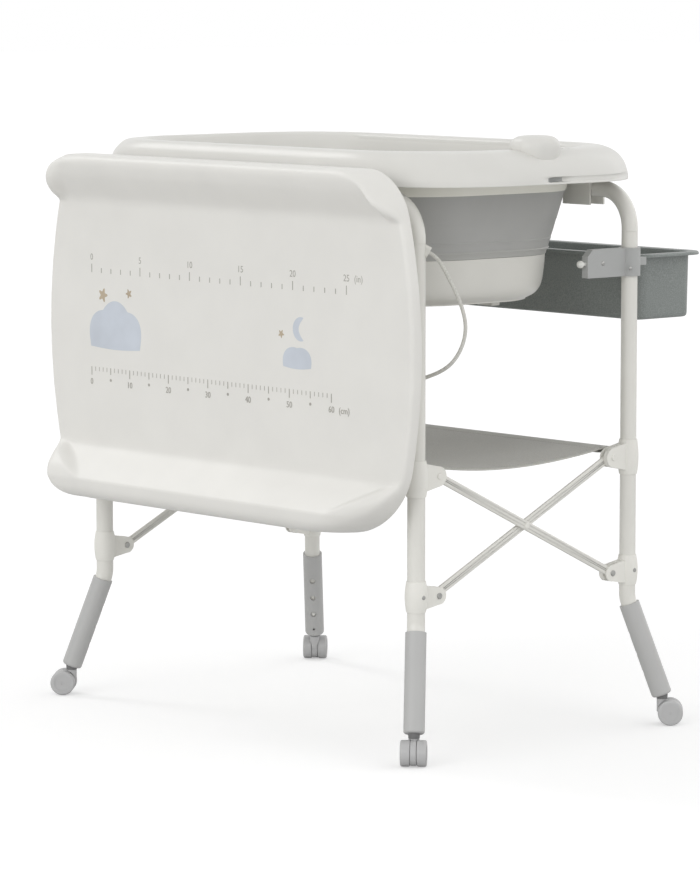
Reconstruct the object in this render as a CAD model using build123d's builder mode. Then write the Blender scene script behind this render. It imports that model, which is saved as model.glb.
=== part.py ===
"""Changing table with bathtub: a folding tube frame on casters that carries a
collapsible bathtub, a hanging changing board, a fabric shelf and a tray.

Millimetres. +X runs along the table, -Y is the side with the changing board,
+Z is up, and the origin lies on the floor under the middle of the whole object.
"""
import os
from math import acos, cos, degrees, hypot, pi, radians, sin, tan
from build123d import *

# Driving dimensions: the frame
frame_centre_y = -38.0
upright_spacing_x = 777.0
upright_spacing_y = 459.0
rail_height = 862.0
rail_bend_radius = 60.0
tube_joint_height = 797.0
front_tube_d = 28.0
rear_tube_d = 26.0
tube_wall = 1.5
leg_bend_height = 205.6
leg_bend_radius = 45.0
leg_splay_deg = 20.0
leg_heading_deg = 45.0
leg_tube_length = 145.0

# Driving dimensions: sleeves and casters
sleeve_wall = 2.5
sleeve_d = front_tube_d + 2 * sleeve_wall
sleeve_start = 10.0
sleeve_length = 158.0
sleeve_floor = 18.0
height_hole_pitch = 33.0
height_hole_count = 3
wheel_d = 40.8
wheel_width = 15.5
caster_trail = 13.5

# Driving dimensions: the folding braces
pivot_offset = 41.0
lower_pivot_height = 250.0
upper_pivot_height = 436.0
bar_height = 14.5
bar_thickness = 5.6
bar_plane = 3.1
rivet_d = 6.0

# Driving dimensions: the bathtub
rim_top = 935.0
rim_skirt_bottom = 882.0
rim_past_upright_x = 60.5
rim_past_upright_y = 38.5
rim_slope_x = 51.0
rim_slope_y = 29.0
mouth_slope_x = 26.0
mouth_slope_y = 25.0
rim_half_x = upright_spacing_x / 2 + rim_past_upright_x
rim_half_y = upright_spacing_y / 2 + rim_past_upright_y
crest_half_x = rim_half_x - rim_slope_x
crest_half_y = rim_half_y - rim_slope_y
mouth_half_x = crest_half_x - mouth_slope_x
mouth_half_y = crest_half_y - mouth_slope_y
tub_ring_bottom = 862.0
ring_inset_x = 27.0
ring_inset_y = 9.0
tub_ring_half_x = mouth_half_x - ring_inset_x
tub_ring_half_y = mouth_half_y - ring_inset_y
tub_band_top = 772.0
tub_band_bottom = 760.0
tub_bottom = 684.0
waist_inset = 23.0
tub_waist_half_x = tub_ring_half_x - waist_inset
tub_waist_half_y = tub_ring_half_y - waist_inset
tub_wall = 3.5

# Driving dimensions: the changing board
board_top = 912.0
board_bottom = 350.0
board_half_width = 424.0
board_bulge = 23.0
board_thickness = 14.0
board_gap = 62.0
bolster_height = 34.0
bolster_width = 72.0

# Driving dimensions: the tray and its clamps
clamp_bottom = 726.0
clamp_height = 45.0
tray_top = 757.0
tray_depth = 107.0
tray_inside_upright = 31.5
tray_half_length = upright_spacing_x / 2 - tray_inside_upright
tray_width = 129.0
tray_offset = 38.5
tray_wall = 2.5

# Clearances
slide_clearance = 0.3
running_clearance = 0.05
overrun = 5.0

# Derived places
half_x = upright_spacing_x / 2
front_y = frame_centre_y - upright_spacing_y / 2
rear_y = frame_centre_y + upright_spacing_y / 2
frame_sides = {-1: (front_y, front_tube_d), 1: (rear_y, rear_tube_d)}
corners = {
    "front_left": (-1, -1),
    "front_right": (1, -1),
    "rear_left": (-1, 1),
    "rear_right": (1, 1),
}

os.makedirs("parts", exist_ok=True)


def save(part, name):
    """Label one sub-part and write it to its own STEP file."""
    part.label = name
    export_step(part, f"parts/{name}.step")
    print(name, len(part.solids()), "solids", round(part.volume))


def tube_section(tube_d):
    """Draw the ring-shaped section of a frame tube."""
    Circle(tube_d / 2)
    Circle(tube_d / 2 - tube_wall, mode=Mode.SUBTRACT)


def leg_plane(side_x, side_y, along):
    """Plane square to a splayed leg, its x axis towards the table's middle."""
    splay = radians(leg_splay_deg)
    heading = radians(leg_heading_deg)
    out_x = side_x * cos(heading)
    out_y = side_y * sin(heading)
    axis = Vector(out_x * sin(splay), out_y * sin(splay), -cos(splay))
    inward = Vector(-out_x * cos(splay), -out_y * cos(splay), -sin(splay))
    bend = Vector(side_x * half_x, frame_sides[side_y][0], leg_bend_height)
    return Plane(origin=bend + axis * along, x_dir=inward, z_dir=axis)


# Frame tubes: a rail with its two bends, and four legs
def make_rail(side_y):
    """Upper part of one frame: the straight rail and its two end bends."""
    tube_y, tube_d = frame_sides[side_y]
    with BuildPart() as rail:
        with BuildLine():
            FilletPolyline(
                (-half_x, tube_y, tube_joint_height),
                (-half_x, tube_y, rail_height),
                (half_x, tube_y, rail_height),
                (half_x, tube_y, tube_joint_height),
                radius=rail_bend_radius,
            )
        with BuildSketch(Plane((-half_x, tube_y, tube_joint_height))):
            tube_section(tube_d)
        sweep()
    return rail.part


button_d = 8.0
button_hole_clearance = 0.4
first_hole_along = 47.5
button_along = sleeve_start + first_hole_along + (height_hole_count - 1) * height_hole_pitch


def make_leg(side_x, side_y):
    """Upright with its splayed foot end, bored for the height button."""
    tube_y, tube_d = frame_sides[side_y]
    foot = leg_plane(side_x, side_y, leg_tube_length).origin
    top = (side_x * half_x, tube_y, tube_joint_height)
    bend = (side_x * half_x, tube_y, leg_bend_height)
    with BuildPart() as leg:
        with BuildLine():
            FilletPolyline(top, bend, tuple(foot), radius=leg_bend_radius)
        with BuildSketch(Plane(origin=top, z_dir=(0, 0, -1))):
            tube_section(tube_d)
        sweep()
        button_plane = leg_plane(side_x, side_y, button_along)
        with BuildSketch(Plane(origin=button_plane.origin, z_dir=button_plane.x_dir)):
            Circle(button_d / 2 + button_hole_clearance)
        extrude(amount=tube_d, mode=Mode.SUBTRACT)
    return leg.part


save(make_rail(-1), "front_rail")
save(make_rail(1), "rear_rail")
for corner, (side_x, side_y) in corners.items():
    save(make_leg(side_x, side_y), f"{corner}_leg")


# Height sleeves: a gray tube with three stop holes and a grooved inner side
sleeve_edge_radius = 4.0
sleeve_bore_clearance = 0.25
sleeve_hole_d = 9.6
groove_depth = 1.35
sleeve_screw_along = 143.0
sleeve_screw_d = 4.5
sleeve_screw_depth = 6.0
peg_d = 10.0
peg_length = 12.0
neck_d = 20.0


def caster_plane(side_x, side_y, height):
    """Level plane at a caster's swivel axis, its x axis pointing outward."""
    foot = leg_plane(side_x, side_y, sleeve_start + sleeve_length).origin
    heading = radians(leg_heading_deg)
    outward = (side_x * cos(heading), side_y * sin(heading), 0)
    return Plane(origin=(foot.X, foot.Y, height), x_dir=outward, z_dir=(0, 0, 1))


def make_sleeve(side_x, side_y):
    """Outer sleeve of one leg, closed below to take the caster's peg."""
    tube_d = frame_sides[side_y][1]
    bore_r = tube_d / 2 + sleeve_bore_clearance
    groove_d = button_d + 2 * button_hole_clearance
    start = leg_plane(side_x, side_y, sleeve_start)
    with BuildPart() as sleeve:
        with BuildSketch(start):
            Circle(sleeve_d / 2)
        extrude(amount=sleeve_length)
        fillet(sleeve.faces().sort_by(Axis.Z)[0].edges(), sleeve_edge_radius)
        with BuildSketch(start):
            Circle(bore_r)
        extrude(amount=sleeve_length - sleeve_floor, mode=Mode.SUBTRACT)
        # The groove lets the sprung button travel from hole to hole
        groove_plane = start.offset(first_hole_along)
        with BuildSketch(groove_plane):
            with Locations((bore_r / 2 + groove_depth / 2, 0)):
                Rectangle(bore_r + groove_depth, groove_d)
        extrude(amount=(height_hole_count - 1) * height_hole_pitch, mode=Mode.SUBTRACT)
        for index in range(height_hole_count):
            hole = start.offset(first_hole_along + index * height_hole_pitch)
            with BuildSketch(Plane(origin=hole.origin, z_dir=hole.x_dir)):
                Circle(sleeve_hole_d / 2)
            extrude(amount=sleeve_d, mode=Mode.SUBTRACT)
        screw = start.offset(sleeve_screw_along)
        screw_start = screw.origin + screw.x_dir * (sleeve_d / 2 - sleeve_screw_depth)
        with BuildSketch(Plane(origin=screw_start, z_dir=screw.x_dir)):
            Circle(sleeve_screw_d / 2)
        extrude(amount=sleeve_d, mode=Mode.SUBTRACT)
        foot_height = start.offset(sleeve_length).origin.Z
        with BuildSketch(caster_plane(side_x, side_y, foot_height - neck_d / 2)):
            Circle(peg_d / 2)
        extrude(amount=neck_d / 2 + peg_length, mode=Mode.SUBTRACT)
    return sleeve.part


button_head = 1.2
button_length = 9.0
button_edge = 0.8


def make_button(side_x, side_y):
    """Sprung height button, standing out of the leg tube into a sleeve hole."""
    tube_d = frame_sides[side_y][1]
    hole = leg_plane(side_x, side_y, button_along)
    head = hole.origin + hole.x_dir * (tube_d / 2 + button_head)
    with BuildPart() as button:
        with BuildSketch(Plane(origin=head, z_dir=-hole.x_dir)):
            Circle(button_d / 2)
        extrude(amount=button_length)
        outward = Axis(tuple(hole.origin), tuple(hole.x_dir))
        chamfer(button.faces().sort_by(outward)[-1].edges(), button_edge)
    return button.part


for corner, (side_x, side_y) in corners.items():
    save(make_sleeve(side_x, side_y), f"{corner}_sleeve")
    save(make_button(side_x, side_y), f"{corner}_height_button")


# Casters: a dark neck with its swivel pin, a body, and two wheels on an axle
wheel_gap = 0.5
body_width = 9.0
body_disc_d = 38.6
wheel_envelope = 0.8
wheel_edge_radius = 3.0
hub_recess_d = 26.0
hub_recess_depth = 1.0
axle_d = 5.0
axle_inset = 2.0
swivel_pin_d = 6.0
swivel_pin_length = 14.0
boss_d = 17.0
neck_bottom = 41.6
neck_taper = 1.2


def wheel_plane(side_x, side_y):
    """Plane at a wheel's centre, its z axis along the axle."""
    heading = radians(leg_heading_deg)
    centre = caster_plane(side_x, side_y, wheel_d / 2)
    origin = centre.origin + centre.x_dir * caster_trail
    axle = (-side_x * sin(heading), side_y * cos(heading), 0)
    return Plane(origin=origin, x_dir=(0, 0, 1), z_dir=axle)


def make_neck(side_x, side_y):
    """Dark wedge under the sleeve, pegged into it, with the swivel pin."""
    sleeve_end = leg_plane(side_x, side_y, sleeve_start + sleeve_length)
    base = caster_plane(side_x, side_y, neck_bottom)
    reach = sleeve_end.origin.Z - neck_bottom + neck_d / 2
    with BuildPart() as neck:
        with BuildSketch(base):
            Circle(neck_d / 2 - neck_taper)
        with BuildSketch(base.offset(reach)):
            Circle(neck_d / 2)
        loft()
        split(bisect_by=sleeve_end, keep=Keep.TOP)
        with BuildSketch(base):
            Circle(peg_d / 2)
        extrude(amount=sleeve_end.origin.Z - neck_bottom + peg_length)
        with BuildSketch(base):
            Circle(swivel_pin_d / 2)
        extrude(amount=-swivel_pin_length)
    return neck.part


def make_caster_body(side_x, side_y):
    """Swivelling body: a disc between the wheels and a boss round the pin."""
    centre = wheel_plane(side_x, side_y)
    boss = caster_plane(side_x, side_y, wheel_d / 2)
    side_offset = body_width / 2 + wheel_gap / 2
    with BuildPart() as body:
        with BuildSketch(boss):
            Circle(boss_d / 2)
        extrude(amount=neck_bottom - slide_clearance - wheel_d / 2)
        for direction in (-1, 1):
            with BuildSketch(centre.offset(direction * side_offset)):
                Circle(wheel_d / 2 + wheel_envelope)
            extrude(amount=direction * boss_d, mode=Mode.SUBTRACT)
        with BuildSketch(centre):
            Circle(body_disc_d / 2)
        extrude(amount=body_width / 2, both=True)
        with BuildSketch(centre):
            Circle(axle_d / 2 + running_clearance)
        extrude(amount=body_width, both=True, mode=Mode.SUBTRACT)
        pin_foot = neck_bottom - swivel_pin_length - slide_clearance
        with BuildSketch(caster_plane(side_x, side_y, pin_foot)):
            Circle(swivel_pin_d / 2 + running_clearance)
        extrude(amount=swivel_pin_length + overrun, mode=Mode.SUBTRACT)
    return body.part


def make_wheels(side_x, side_y):
    """Two wheels and the axle that joins them, as three solids."""
    centre = wheel_plane(side_x, side_y)
    inner = body_width / 2 + wheel_gap
    solids = []
    for direction in (-1, 1):
        with BuildPart() as wheel:
            with BuildSketch(centre.offset(direction * inner)):
                Circle(wheel_d / 2)
                Circle(axle_d / 2, mode=Mode.SUBTRACT)
            extrude(amount=direction * wheel_width)
            rims = wheel.edges().filter_by(GeomType.CIRCLE).group_by(SortBy.RADIUS)[-1]
            fillet(rims, wheel_edge_radius)
            with BuildSketch(centre.offset(direction * (inner + wheel_width))):
                Circle(hub_recess_d / 2)
            extrude(amount=-direction * hub_recess_depth, mode=Mode.SUBTRACT)
        solids.append(wheel.part.solid())
    with BuildPart() as axle:
        with BuildSketch(centre):
            Circle(axle_d / 2)
        extrude(amount=inner + wheel_width - axle_inset, both=True)
    solids.append(axle.part.solid())
    return Compound(children=solids)


for corner, (side_x, side_y) in corners.items():
    save(make_neck(side_x, side_y), f"{corner}_caster_neck")
    save(make_caster_body(side_x, side_y), f"{corner}_caster_body")
    save(make_wheels(side_x, side_y), f"{corner}_caster_wheels")


# Collars: moulded sleeves on the uprights, each with an ear for a brace bar
lower_collar_height = 48.0
lower_collar_bottom = 228.0
upper_collar_height = 56.0
upper_collar_bottom = 407.0
collar_waist = 1.2
collar_bulge = 3.8
ear_thickness = 17.0
ear_slot = 6.2
ear_slot_start = 27.0
ear_root_share = 0.86
ear_tip_share = 0.56
ear_tip_reach = 14.5
screw_d = 4.0
screw_head_d = 7.0
screw_seat = 1.4
screw_head_height = 2.2
rod_d = 8.0
rod_offset = 22.5
rod_height = 446.0
rod_socket_depth = 4.0


def rod_y(side_y):
    """Where a shelf rod runs, just inside its pair of uprights."""
    return frame_sides[side_y][0] - side_y * rod_offset


def ear_profile(half_height):
    """Outline of an ear from the upright's axis to its rounded tip."""
    root = half_height * ear_root_share
    tip = half_height * ear_tip_share
    with BuildLine() as edge:
        Polyline((pivot_offset, -tip), (0, -root), (0, root), (pivot_offset, tip))
        ThreePointArc((pivot_offset, tip), (pivot_offset + ear_tip_reach, 0), (pivot_offset, -tip))
    return edge.line


def make_collar(side_x, side_y, bottom, height, pivot_height, clearance, bar_side):
    """One collar: a bulged sleeve round the upright and a slotted ear."""
    tube_y, tube_d = frame_sides[side_y]
    upright_x = side_x * half_x
    inner_r = tube_d / 2 + clearance
    edge_r = tube_d / 2 + collar_waist + clearance
    bulge_r = tube_d / 2 + collar_bulge
    towards = -side_y
    with BuildPart() as collar:
        with BuildSketch(Plane((upright_x, tube_y, 0), x_dir=(1, 0, 0), z_dir=(0, -1, 0))):
            with BuildLine():
                Line((edge_r, bottom), (0, bottom))
                Line((0, bottom), (0, bottom + height))
                Line((0, bottom + height), (edge_r, bottom + height))
                ThreePointArc(
                    (edge_r, bottom + height),
                    (bulge_r, bottom + height / 2),
                    (edge_r, bottom),
                )
            make_face()
        revolve(axis=Axis((upright_x, tube_y, 0), (0, 0, 1)))
        ear_plane = Plane((upright_x, tube_y, pivot_height), x_dir=(0, towards, 0), z_dir=(1, 0, 0))
        with BuildSketch(ear_plane):
            add(ear_profile(height / 2))
            make_face()
        extrude(amount=ear_thickness / 2, both=True)
        with BuildSketch(Plane((upright_x, tube_y, bottom - overrun))):
            Circle(inner_r)
        extrude(amount=height + 2 * overrun, mode=Mode.SUBTRACT)
        slot_x = upright_x + side_x * bar_side * bar_plane
        slot_plane = Plane((slot_x, tube_y + towards * (ear_slot_start + pivot_offset), bottom - overrun))
        with BuildSketch(slot_plane):
            Rectangle(ear_slot, 2 * pivot_offset)
        extrude(amount=height + 2 * overrun, mode=Mode.SUBTRACT)
        with BuildSketch(Plane((upright_x, tube_y + towards * pivot_offset, pivot_height), z_dir=(1, 0, 0))):
            Circle(rivet_d / 2)
        extrude(amount=ear_thickness, both=True, mode=Mode.SUBTRACT)
    return collar.part


def make_lower_collar(side_x, side_y):
    """Fixed collar, with a seat for the screw that pins it to the leg."""
    tube_y, tube_d = frame_sides[side_y]
    bar_side = side_y
    body = make_collar(
        side_x, side_y, lower_collar_bottom, lower_collar_height, lower_pivot_height, 0, bar_side
    )
    middle = lower_collar_bottom + lower_collar_height / 2
    with BuildPart() as collar:
        add(body)
        with BuildSketch(Plane(origin=(side_x * half_x, tube_y, middle), z_dir=(side_x, 0, 0))):
            Circle(screw_d / 2)
        extrude(amount=tube_d, mode=Mode.SUBTRACT)
        seat_x = side_x * (half_x + tube_d / 2 + collar_bulge - screw_seat)
        with BuildSketch(Plane(origin=(seat_x, tube_y, middle), z_dir=(side_x, 0, 0))):
            Circle(screw_head_d / 2)
        extrude(amount=tube_d, mode=Mode.SUBTRACT)
    return collar.part


def make_upper_collar(side_x, side_y):
    """Sliding collar, with a socket for the shelf rod in its inner side."""
    bar_side = -side_y
    body = make_collar(
        side_x,
        side_y,
        upper_collar_bottom,
        upper_collar_height,
        upper_pivot_height,
        slide_clearance,
        bar_side,
    )
    ear_face_x = side_x * (half_x - ear_thickness / 2)
    with BuildPart() as collar:
        add(body)
        with BuildSketch(Plane(origin=(ear_face_x, rod_y(side_y), rod_height), z_dir=(side_x, 0, 0))):
            Circle(rod_d / 2)
        extrude(amount=rod_socket_depth, mode=Mode.SUBTRACT)
    return collar.part


def save_pair(make, name):
    """Write a left and a right piece to one file, as separate solids."""
    solids = [make(side_x).solid() for side_x in (-1, 1)]
    save(Compound(children=solids), name)


for side_y, side_name in ((-1, "front"), (1, "rear")):
    save_pair(lambda side_x: make_lower_collar(side_x, side_y), f"{side_name}_lower_collars")
    for side_x, end_name in ((-1, "left"), (1, "right")):
        save(make_upper_collar(side_x, side_y), f"{side_name}_{end_name}_upper_collar")


# Braces: two crossing bars at each end, riveted at the collars and the centre
pivot_gap = upright_spacing_y - 2 * pivot_offset
pivot_rise = upper_pivot_height - lower_pivot_height
bar_length = hypot(pivot_gap, pivot_rise)
bar_edge_radius = 2.2
head_d = 10.0
head_height = 1.8


def make_brace(side_x, rear_height, bar_side, centre_hole_d):
    """Flat oval bar, its rear pivot at the given height."""
    tilt = degrees(acos(pivot_gap / bar_length))
    if rear_height < upper_pivot_height:
        tilt = -tilt
    centre_height = (lower_pivot_height + upper_pivot_height) / 2
    centre = (side_x * (half_x + bar_side * bar_plane), frame_centre_y, centre_height)
    with BuildPart() as bar:
        with BuildSketch(Plane(origin=centre, x_dir=(0, 1, 0), z_dir=(1, 0, 0))):
            SlotCenterToCenter(bar_length, bar_height, rotation=tilt)
        extrude(amount=bar_thickness / 2, both=True)
        sides = bar.faces().filter_by(Axis.X)
        fillet(sides.edges(), bar_edge_radius)
        with BuildSketch(Plane(origin=centre, x_dir=(0, 1, 0), z_dir=(1, 0, 0))):
            Circle(centre_hole_d / 2)
        extrude(amount=bar_thickness, both=True, mode=Mode.SUBTRACT)
        ends = ((pivot_gap / 2, rear_height), (-pivot_gap / 2, lower_pivot_height + upper_pivot_height - rear_height))
        for along, height in ends:
            with BuildSketch(Plane(origin=(centre[0], frame_centre_y + along, height), z_dir=(1, 0, 0))):
                Circle(rivet_d / 2 + running_clearance)
            extrude(amount=bar_thickness, both=True, mode=Mode.SUBTRACT)
    return bar.part


def make_rivet(x_start, x_end, y, height):
    """Rivet along X between two faces, with a low domed head at each end."""
    with BuildPart() as rivet:
        with BuildSketch(Plane(origin=(x_start, y, height), z_dir=(1, 0, 0))):
            Circle(rivet_d / 2)
        extrude(amount=x_end - x_start)
        for x, direction in ((x_start, -1), (x_end, 1)):
            with BuildSketch(Plane(origin=(x, y, height), z_dir=(direction, 0, 0))):
                Circle(head_d / 2)
            extrude(amount=head_height)
        caps = rivet.faces().filter_by(Axis.X).sort_by(Axis.X)
        chamfer((caps[0].edges() + caps[-1].edges()), head_height / 2)
    return rivet.part.solid()


def pivot_rivets(side_y, height):
    """The left and right rivets of one frame's collars at one height."""
    pivot_y = frame_sides[side_y][0] - side_y * pivot_offset
    rivets = []
    for side_x in (-1, 1):
        x = side_x * half_x
        rivets.append(make_rivet(x - ear_thickness / 2, x + ear_thickness / 2, pivot_y, height))
    return rivets


for side_x, end_name in ((-1, "left"), (1, "right")):
    save(make_brace(side_x, lower_pivot_height, 1, rivet_d), f"brace_a_{end_name}")
    save(make_brace(side_x, upper_pivot_height, -1, rivet_d + 2 * running_clearance), f"brace_b_{end_name}")
bar_reach = bar_plane + bar_thickness / 2
centre_pins = []
for side_x in (-1, 1):
    middle_height = (lower_pivot_height + upper_pivot_height) / 2
    x = side_x * half_x
    centre_pins.append(make_rivet(x - bar_reach - slide_clearance, x + bar_reach, frame_centre_y, middle_height))
save(Compound(children=centre_pins), "brace_centre_rivets")
save(Compound(children=pivot_rivets(-1, upper_pivot_height)), "front_collar_rivets")
save(Compound(children=pivot_rivets(1, upper_pivot_height)), "rear_collar_rivets")


# Shelf: two rods between the upper collars and a cloth sling hung on them
rod_length = upright_spacing_x - ear_thickness + 2 * rod_socket_depth
cloth_thickness = 1.6
cloth_end_gap = 20.0
cloth_sag = 9.0


def make_rod(side_y):
    """Rod that joins the two sliding collars of one frame."""
    with BuildPart() as rod:
        with BuildSketch(Plane(origin=(0, rod_y(side_y), rod_height), z_dir=(1, 0, 0))):
            Circle(rod_d / 2)
        extrude(amount=rod_length / 2, both=True)
    return rod.part


save(make_rod(-1), "front_shelf_rod")
save(make_rod(1), "rear_shelf_rod")

with BuildPart() as shelf:
    hem_r = rod_d / 2 + slide_clearance + cloth_thickness
    with BuildSketch(Plane(origin=(0, 0, rod_height), x_dir=(0, 1, 0), z_dir=(1, 0, 0))):
        with BuildLine():
            top = hem_r
            ThreePointArc((rod_y(-1), top), (frame_centre_y, top - cloth_sag), (rod_y(1), top))
            Line((rod_y(1), top), (rod_y(1), top - cloth_thickness))
            ThreePointArc(
                (rod_y(1), top - cloth_thickness),
                (frame_centre_y, top - cloth_thickness - cloth_sag),
                (rod_y(-1), top - cloth_thickness),
            )
            Line((rod_y(-1), top - cloth_thickness), (rod_y(-1), top))
        make_face()
        with Locations((rod_y(-1), 0), (rod_y(1), 0)):
            Circle(hem_r)
            Circle(rod_d / 2 + slide_clearance, mode=Mode.SUBTRACT)
    extrude(amount=half_x - cloth_end_gap, both=True)
save(shelf.part, "fabric_shelf")


# Bathtub: lofts through rounded outlines stacked from the rim to the bottom
tub_ring_corner = 130.0
tub_ring_top = 880.0
tub_ring_flare = 4.0
tub_ring_wall = 6.0
tub_waist_corner = 120.0
tub_base_half_x = 318.0
tub_base_half_y = 178.0
tub_base_corner = 118.0
floor_inset_x = 56.0
floor_inset_y = 46.0
tub_floor_half_x = tub_waist_half_x - floor_inset_x
tub_floor_half_y = tub_waist_half_y - floor_inset_y
tub_floor_corner = 98.0
tub_floor_thickness = 4.0
crest_corner = 158.0
skirt_corner = 188.0
mouth_corner = 138.0
rim_wall = 3.0
rim_skirt_shares = ((0, 1.0), (0.22, 0.97), (0.5, 0.85), (0.75, 0.64), (0.91, 0.38), (1, 0))
tub_base_shares = ((0, 0), (0.09, 0.40), (0.24, 0.66), (0.5, 0.84), (1, 1))
tub_wall_shares = ((0, 0), (0.47, 0.42), (0.5, 0.52), (0.53, 0.58), (1, 1))


def outline(half_length, half_width, corner, height):
    """One level rounded outline about the tub's own centre line."""
    with BuildSketch(Plane((0, frame_centre_y, height))) as section:
        RectangleRounded(2 * half_length, 2 * half_width, corner)
    return section.sketch.faces()[0]


def stack(low, high, shares, inset=0.0, rise=0.0, cut_above=False):
    """Outlines between two (half length, half width, corner, height) sets."""
    faces = []
    for up_share, out_share in shares:
        sizes = [low[i] + (high[i] - low[i]) * out_share for i in range(3)]
        height = low[3] + (high[3] - low[3]) * up_share + rise
        faces.append(outline(sizes[0] - inset, sizes[1] - inset, sizes[2] - inset, height))
    if cut_above:
        sizes = [high[i] + (high[i] - low[i]) * overrun / (high[3] - low[3]) for i in range(3)]
        faces.append(outline(sizes[0] - inset, sizes[1] - inset, sizes[2] - inset, high[3] + overrun))
    return faces


straight_shares = ((0, 0), (1, 1))
skirt = (rim_half_x, rim_half_y, skirt_corner, rim_skirt_bottom)
crest = (crest_half_x, crest_half_y, crest_corner, rim_top)
mouth = (mouth_half_x, mouth_half_y, mouth_corner, rim_top)
ring_foot = (tub_ring_half_x, tub_ring_half_y, tub_ring_corner, tub_ring_bottom)
ring_head = tuple(size + tub_ring_flare for size in ring_foot[:3]) + (tub_ring_top,)
throat = tuple(size - tub_ring_wall + rim_wall for size in ring_head[:3]) + (tub_ring_top,)
waist = (tub_waist_half_x, tub_waist_half_y, tub_waist_corner, tub_band_top)
base_head = (tub_base_half_x, tub_base_half_y, tub_base_corner, tub_band_bottom)
base_foot = (tub_floor_half_x, tub_floor_half_y, tub_floor_corner, tub_bottom)


def skirt_faces(inset=0.0, drop=0.0):
    """Outlines of the rim's outer surface, from the skirt to the crest."""
    faces = []
    for up_share, out_share in rim_skirt_shares:
        sizes = [crest[i] + (skirt[i] - crest[i]) * out_share for i in range(3)]
        height = rim_skirt_bottom + (rim_top - rim_skirt_bottom) * up_share - drop
        faces.append(outline(sizes[0] - inset, sizes[1] - inset, sizes[2] - inset, height))
    return faces


with BuildPart() as rim:
    loft(skirt_faces())
    loft(skirt_faces(rim_wall, rim_wall), mode=Mode.SUBTRACT)
    loft(stack(throat, mouth[:3] + (rim_top - rim_wall / 2,), straight_shares))
    loft(stack(throat, mouth, straight_shares, inset=rim_wall, cut_above=True), mode=Mode.SUBTRACT)
save(rim.part, "tub_rim")

with BuildPart() as ring:
    loft(stack(ring_foot, ring_head, straight_shares))
    loft(stack(ring_foot, ring_head, straight_shares, inset=tub_ring_wall, cut_above=True), mode=Mode.SUBTRACT)
save(ring.part, "tub_ring")

wall_head = tuple(size - tub_ring_flare / 2 for size in ring_foot[:3]) + (tub_ring_bottom,)
with BuildPart() as wall:
    loft(stack(waist, wall_head, tub_wall_shares), ruled=True)
    loft(stack(waist, wall_head, tub_wall_shares, inset=tub_wall, cut_above=True), ruled=True, mode=Mode.SUBTRACT)
save(wall.part, "tub_wall")

with BuildPart() as band:
    loft(stack(base_head, waist, straight_shares))
    loft(stack(base_head, waist, straight_shares, inset=tub_wall, cut_above=True), mode=Mode.SUBTRACT)
save(band.part, "tub_lower_ring")

tub_foot_length = 24.0
tub_foot_width = 13.0
tub_foot_height = 8.0
tub_foot_edge = 3.0
tub_foot_x_share = 0.78
tub_foot_y_share = 0.66
plug_x_share = 0.6
plug_d = 36.0
plug_flange_d = 48.0
plug_flange_thickness = 2.0
plug_knob_d = 16.0
plug_knob_height = 14.0
plug_knob_edge = 3.2
plug_flange_edge = 0.6
plug_x = -tub_floor_half_x * plug_x_share
floor_top = tub_bottom + tub_floor_thickness

with BuildPart() as base:
    loft(stack(base_foot, base_head, tub_base_shares))
    with BuildSketch(Plane((0, frame_centre_y, floor_top))):
        with GridLocations(
            2 * tub_floor_half_x * tub_foot_x_share, 2 * tub_floor_half_y * tub_foot_y_share, 2, 2
        ):
            RectangleRounded(tub_foot_length, tub_foot_width, tub_foot_edge)
    extrude(amount=-tub_floor_thickness - tub_foot_height)
    loft(
        stack(base_foot, base_head, tub_base_shares, inset=tub_wall, rise=tub_floor_thickness),
        mode=Mode.SUBTRACT,
    )
    with BuildSketch(Plane((plug_x, frame_centre_y, tub_bottom - overrun))):
        Circle(plug_d / 2)
    extrude(amount=tub_floor_thickness + 2 * overrun, mode=Mode.SUBTRACT)
    # A shallow seat lets the plug's flange lie flush with the floor
    with BuildSketch(Plane((plug_x, frame_centre_y, floor_top - plug_flange_thickness - slide_clearance))):
        Circle(plug_flange_d / 2 + slide_clearance)
    extrude(amount=plug_flange_thickness + overrun, mode=Mode.SUBTRACT)
save(base.part, "tub_base")

with BuildPart() as plug:
    with BuildSketch(Plane((plug_x, frame_centre_y, tub_bottom))):
        Circle(plug_d / 2 - slide_clearance)
    extrude(amount=tub_floor_thickness - plug_flange_thickness)
    with BuildSketch(Plane((plug_x, frame_centre_y, floor_top - plug_flange_thickness))):
        Circle(plug_flange_d / 2)
    extrude(amount=plug_flange_thickness)
    chamfer(plug.faces().sort_by(Axis.Z)[-1].edges(), plug_flange_edge)
    with BuildSketch(Plane((plug_x, frame_centre_y, floor_top))):
        Circle(plug_knob_d / 2)
    extrude(amount=plug_knob_height)
    fillet(plug.faces().sort_by(Axis.Z)[-1].edges(), plug_knob_edge)
save(plug.part, "drain_plug")

# Head rest on the crest at the right end of the rim
rest_length = 92.0
rest_width = 112.0
rest_corner = 30.0
rest_shift = 9.0
rest_top = 957.0
rest_bottom = 903.0
rest_top_inset = 16.0
rest_inset_shares = ((0, 0), (0.55, 0.08), (0.82, 0.32), (0.95, 0.68), (1, 1))

def rest_outline(up_share, in_share):
    """One level outline of the head rest, drawn in towards its top."""
    inset = rest_top_inset * in_share
    height = rest_bottom + (rest_top - rest_bottom) * up_share
    with BuildSketch(Plane((crest_half_x + rest_shift, frame_centre_y, height))) as section:
        RectangleRounded(rest_length - 2 * inset, rest_width - 2 * inset, rest_corner - inset)
    return section.sketch.faces()[0]


with BuildPart() as rest:
    loft([rest_outline(up_share, in_share) for up_share, in_share in rest_inset_shares])
    loft(skirt_faces(), mode=Mode.SUBTRACT)
save(rest.part.solids().sort_by(SortBy.VOLUME)[-1], "rim_rest")

# Saddles: open-bottomed hooks under the rim that drop over the two rails
saddle_width = 62.0
saddle_x = 283.0
saddle_wall = 3.6
saddle_rib = 9.5
saddle_bottom = 836.0
saddle_gap = 0.4


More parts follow.
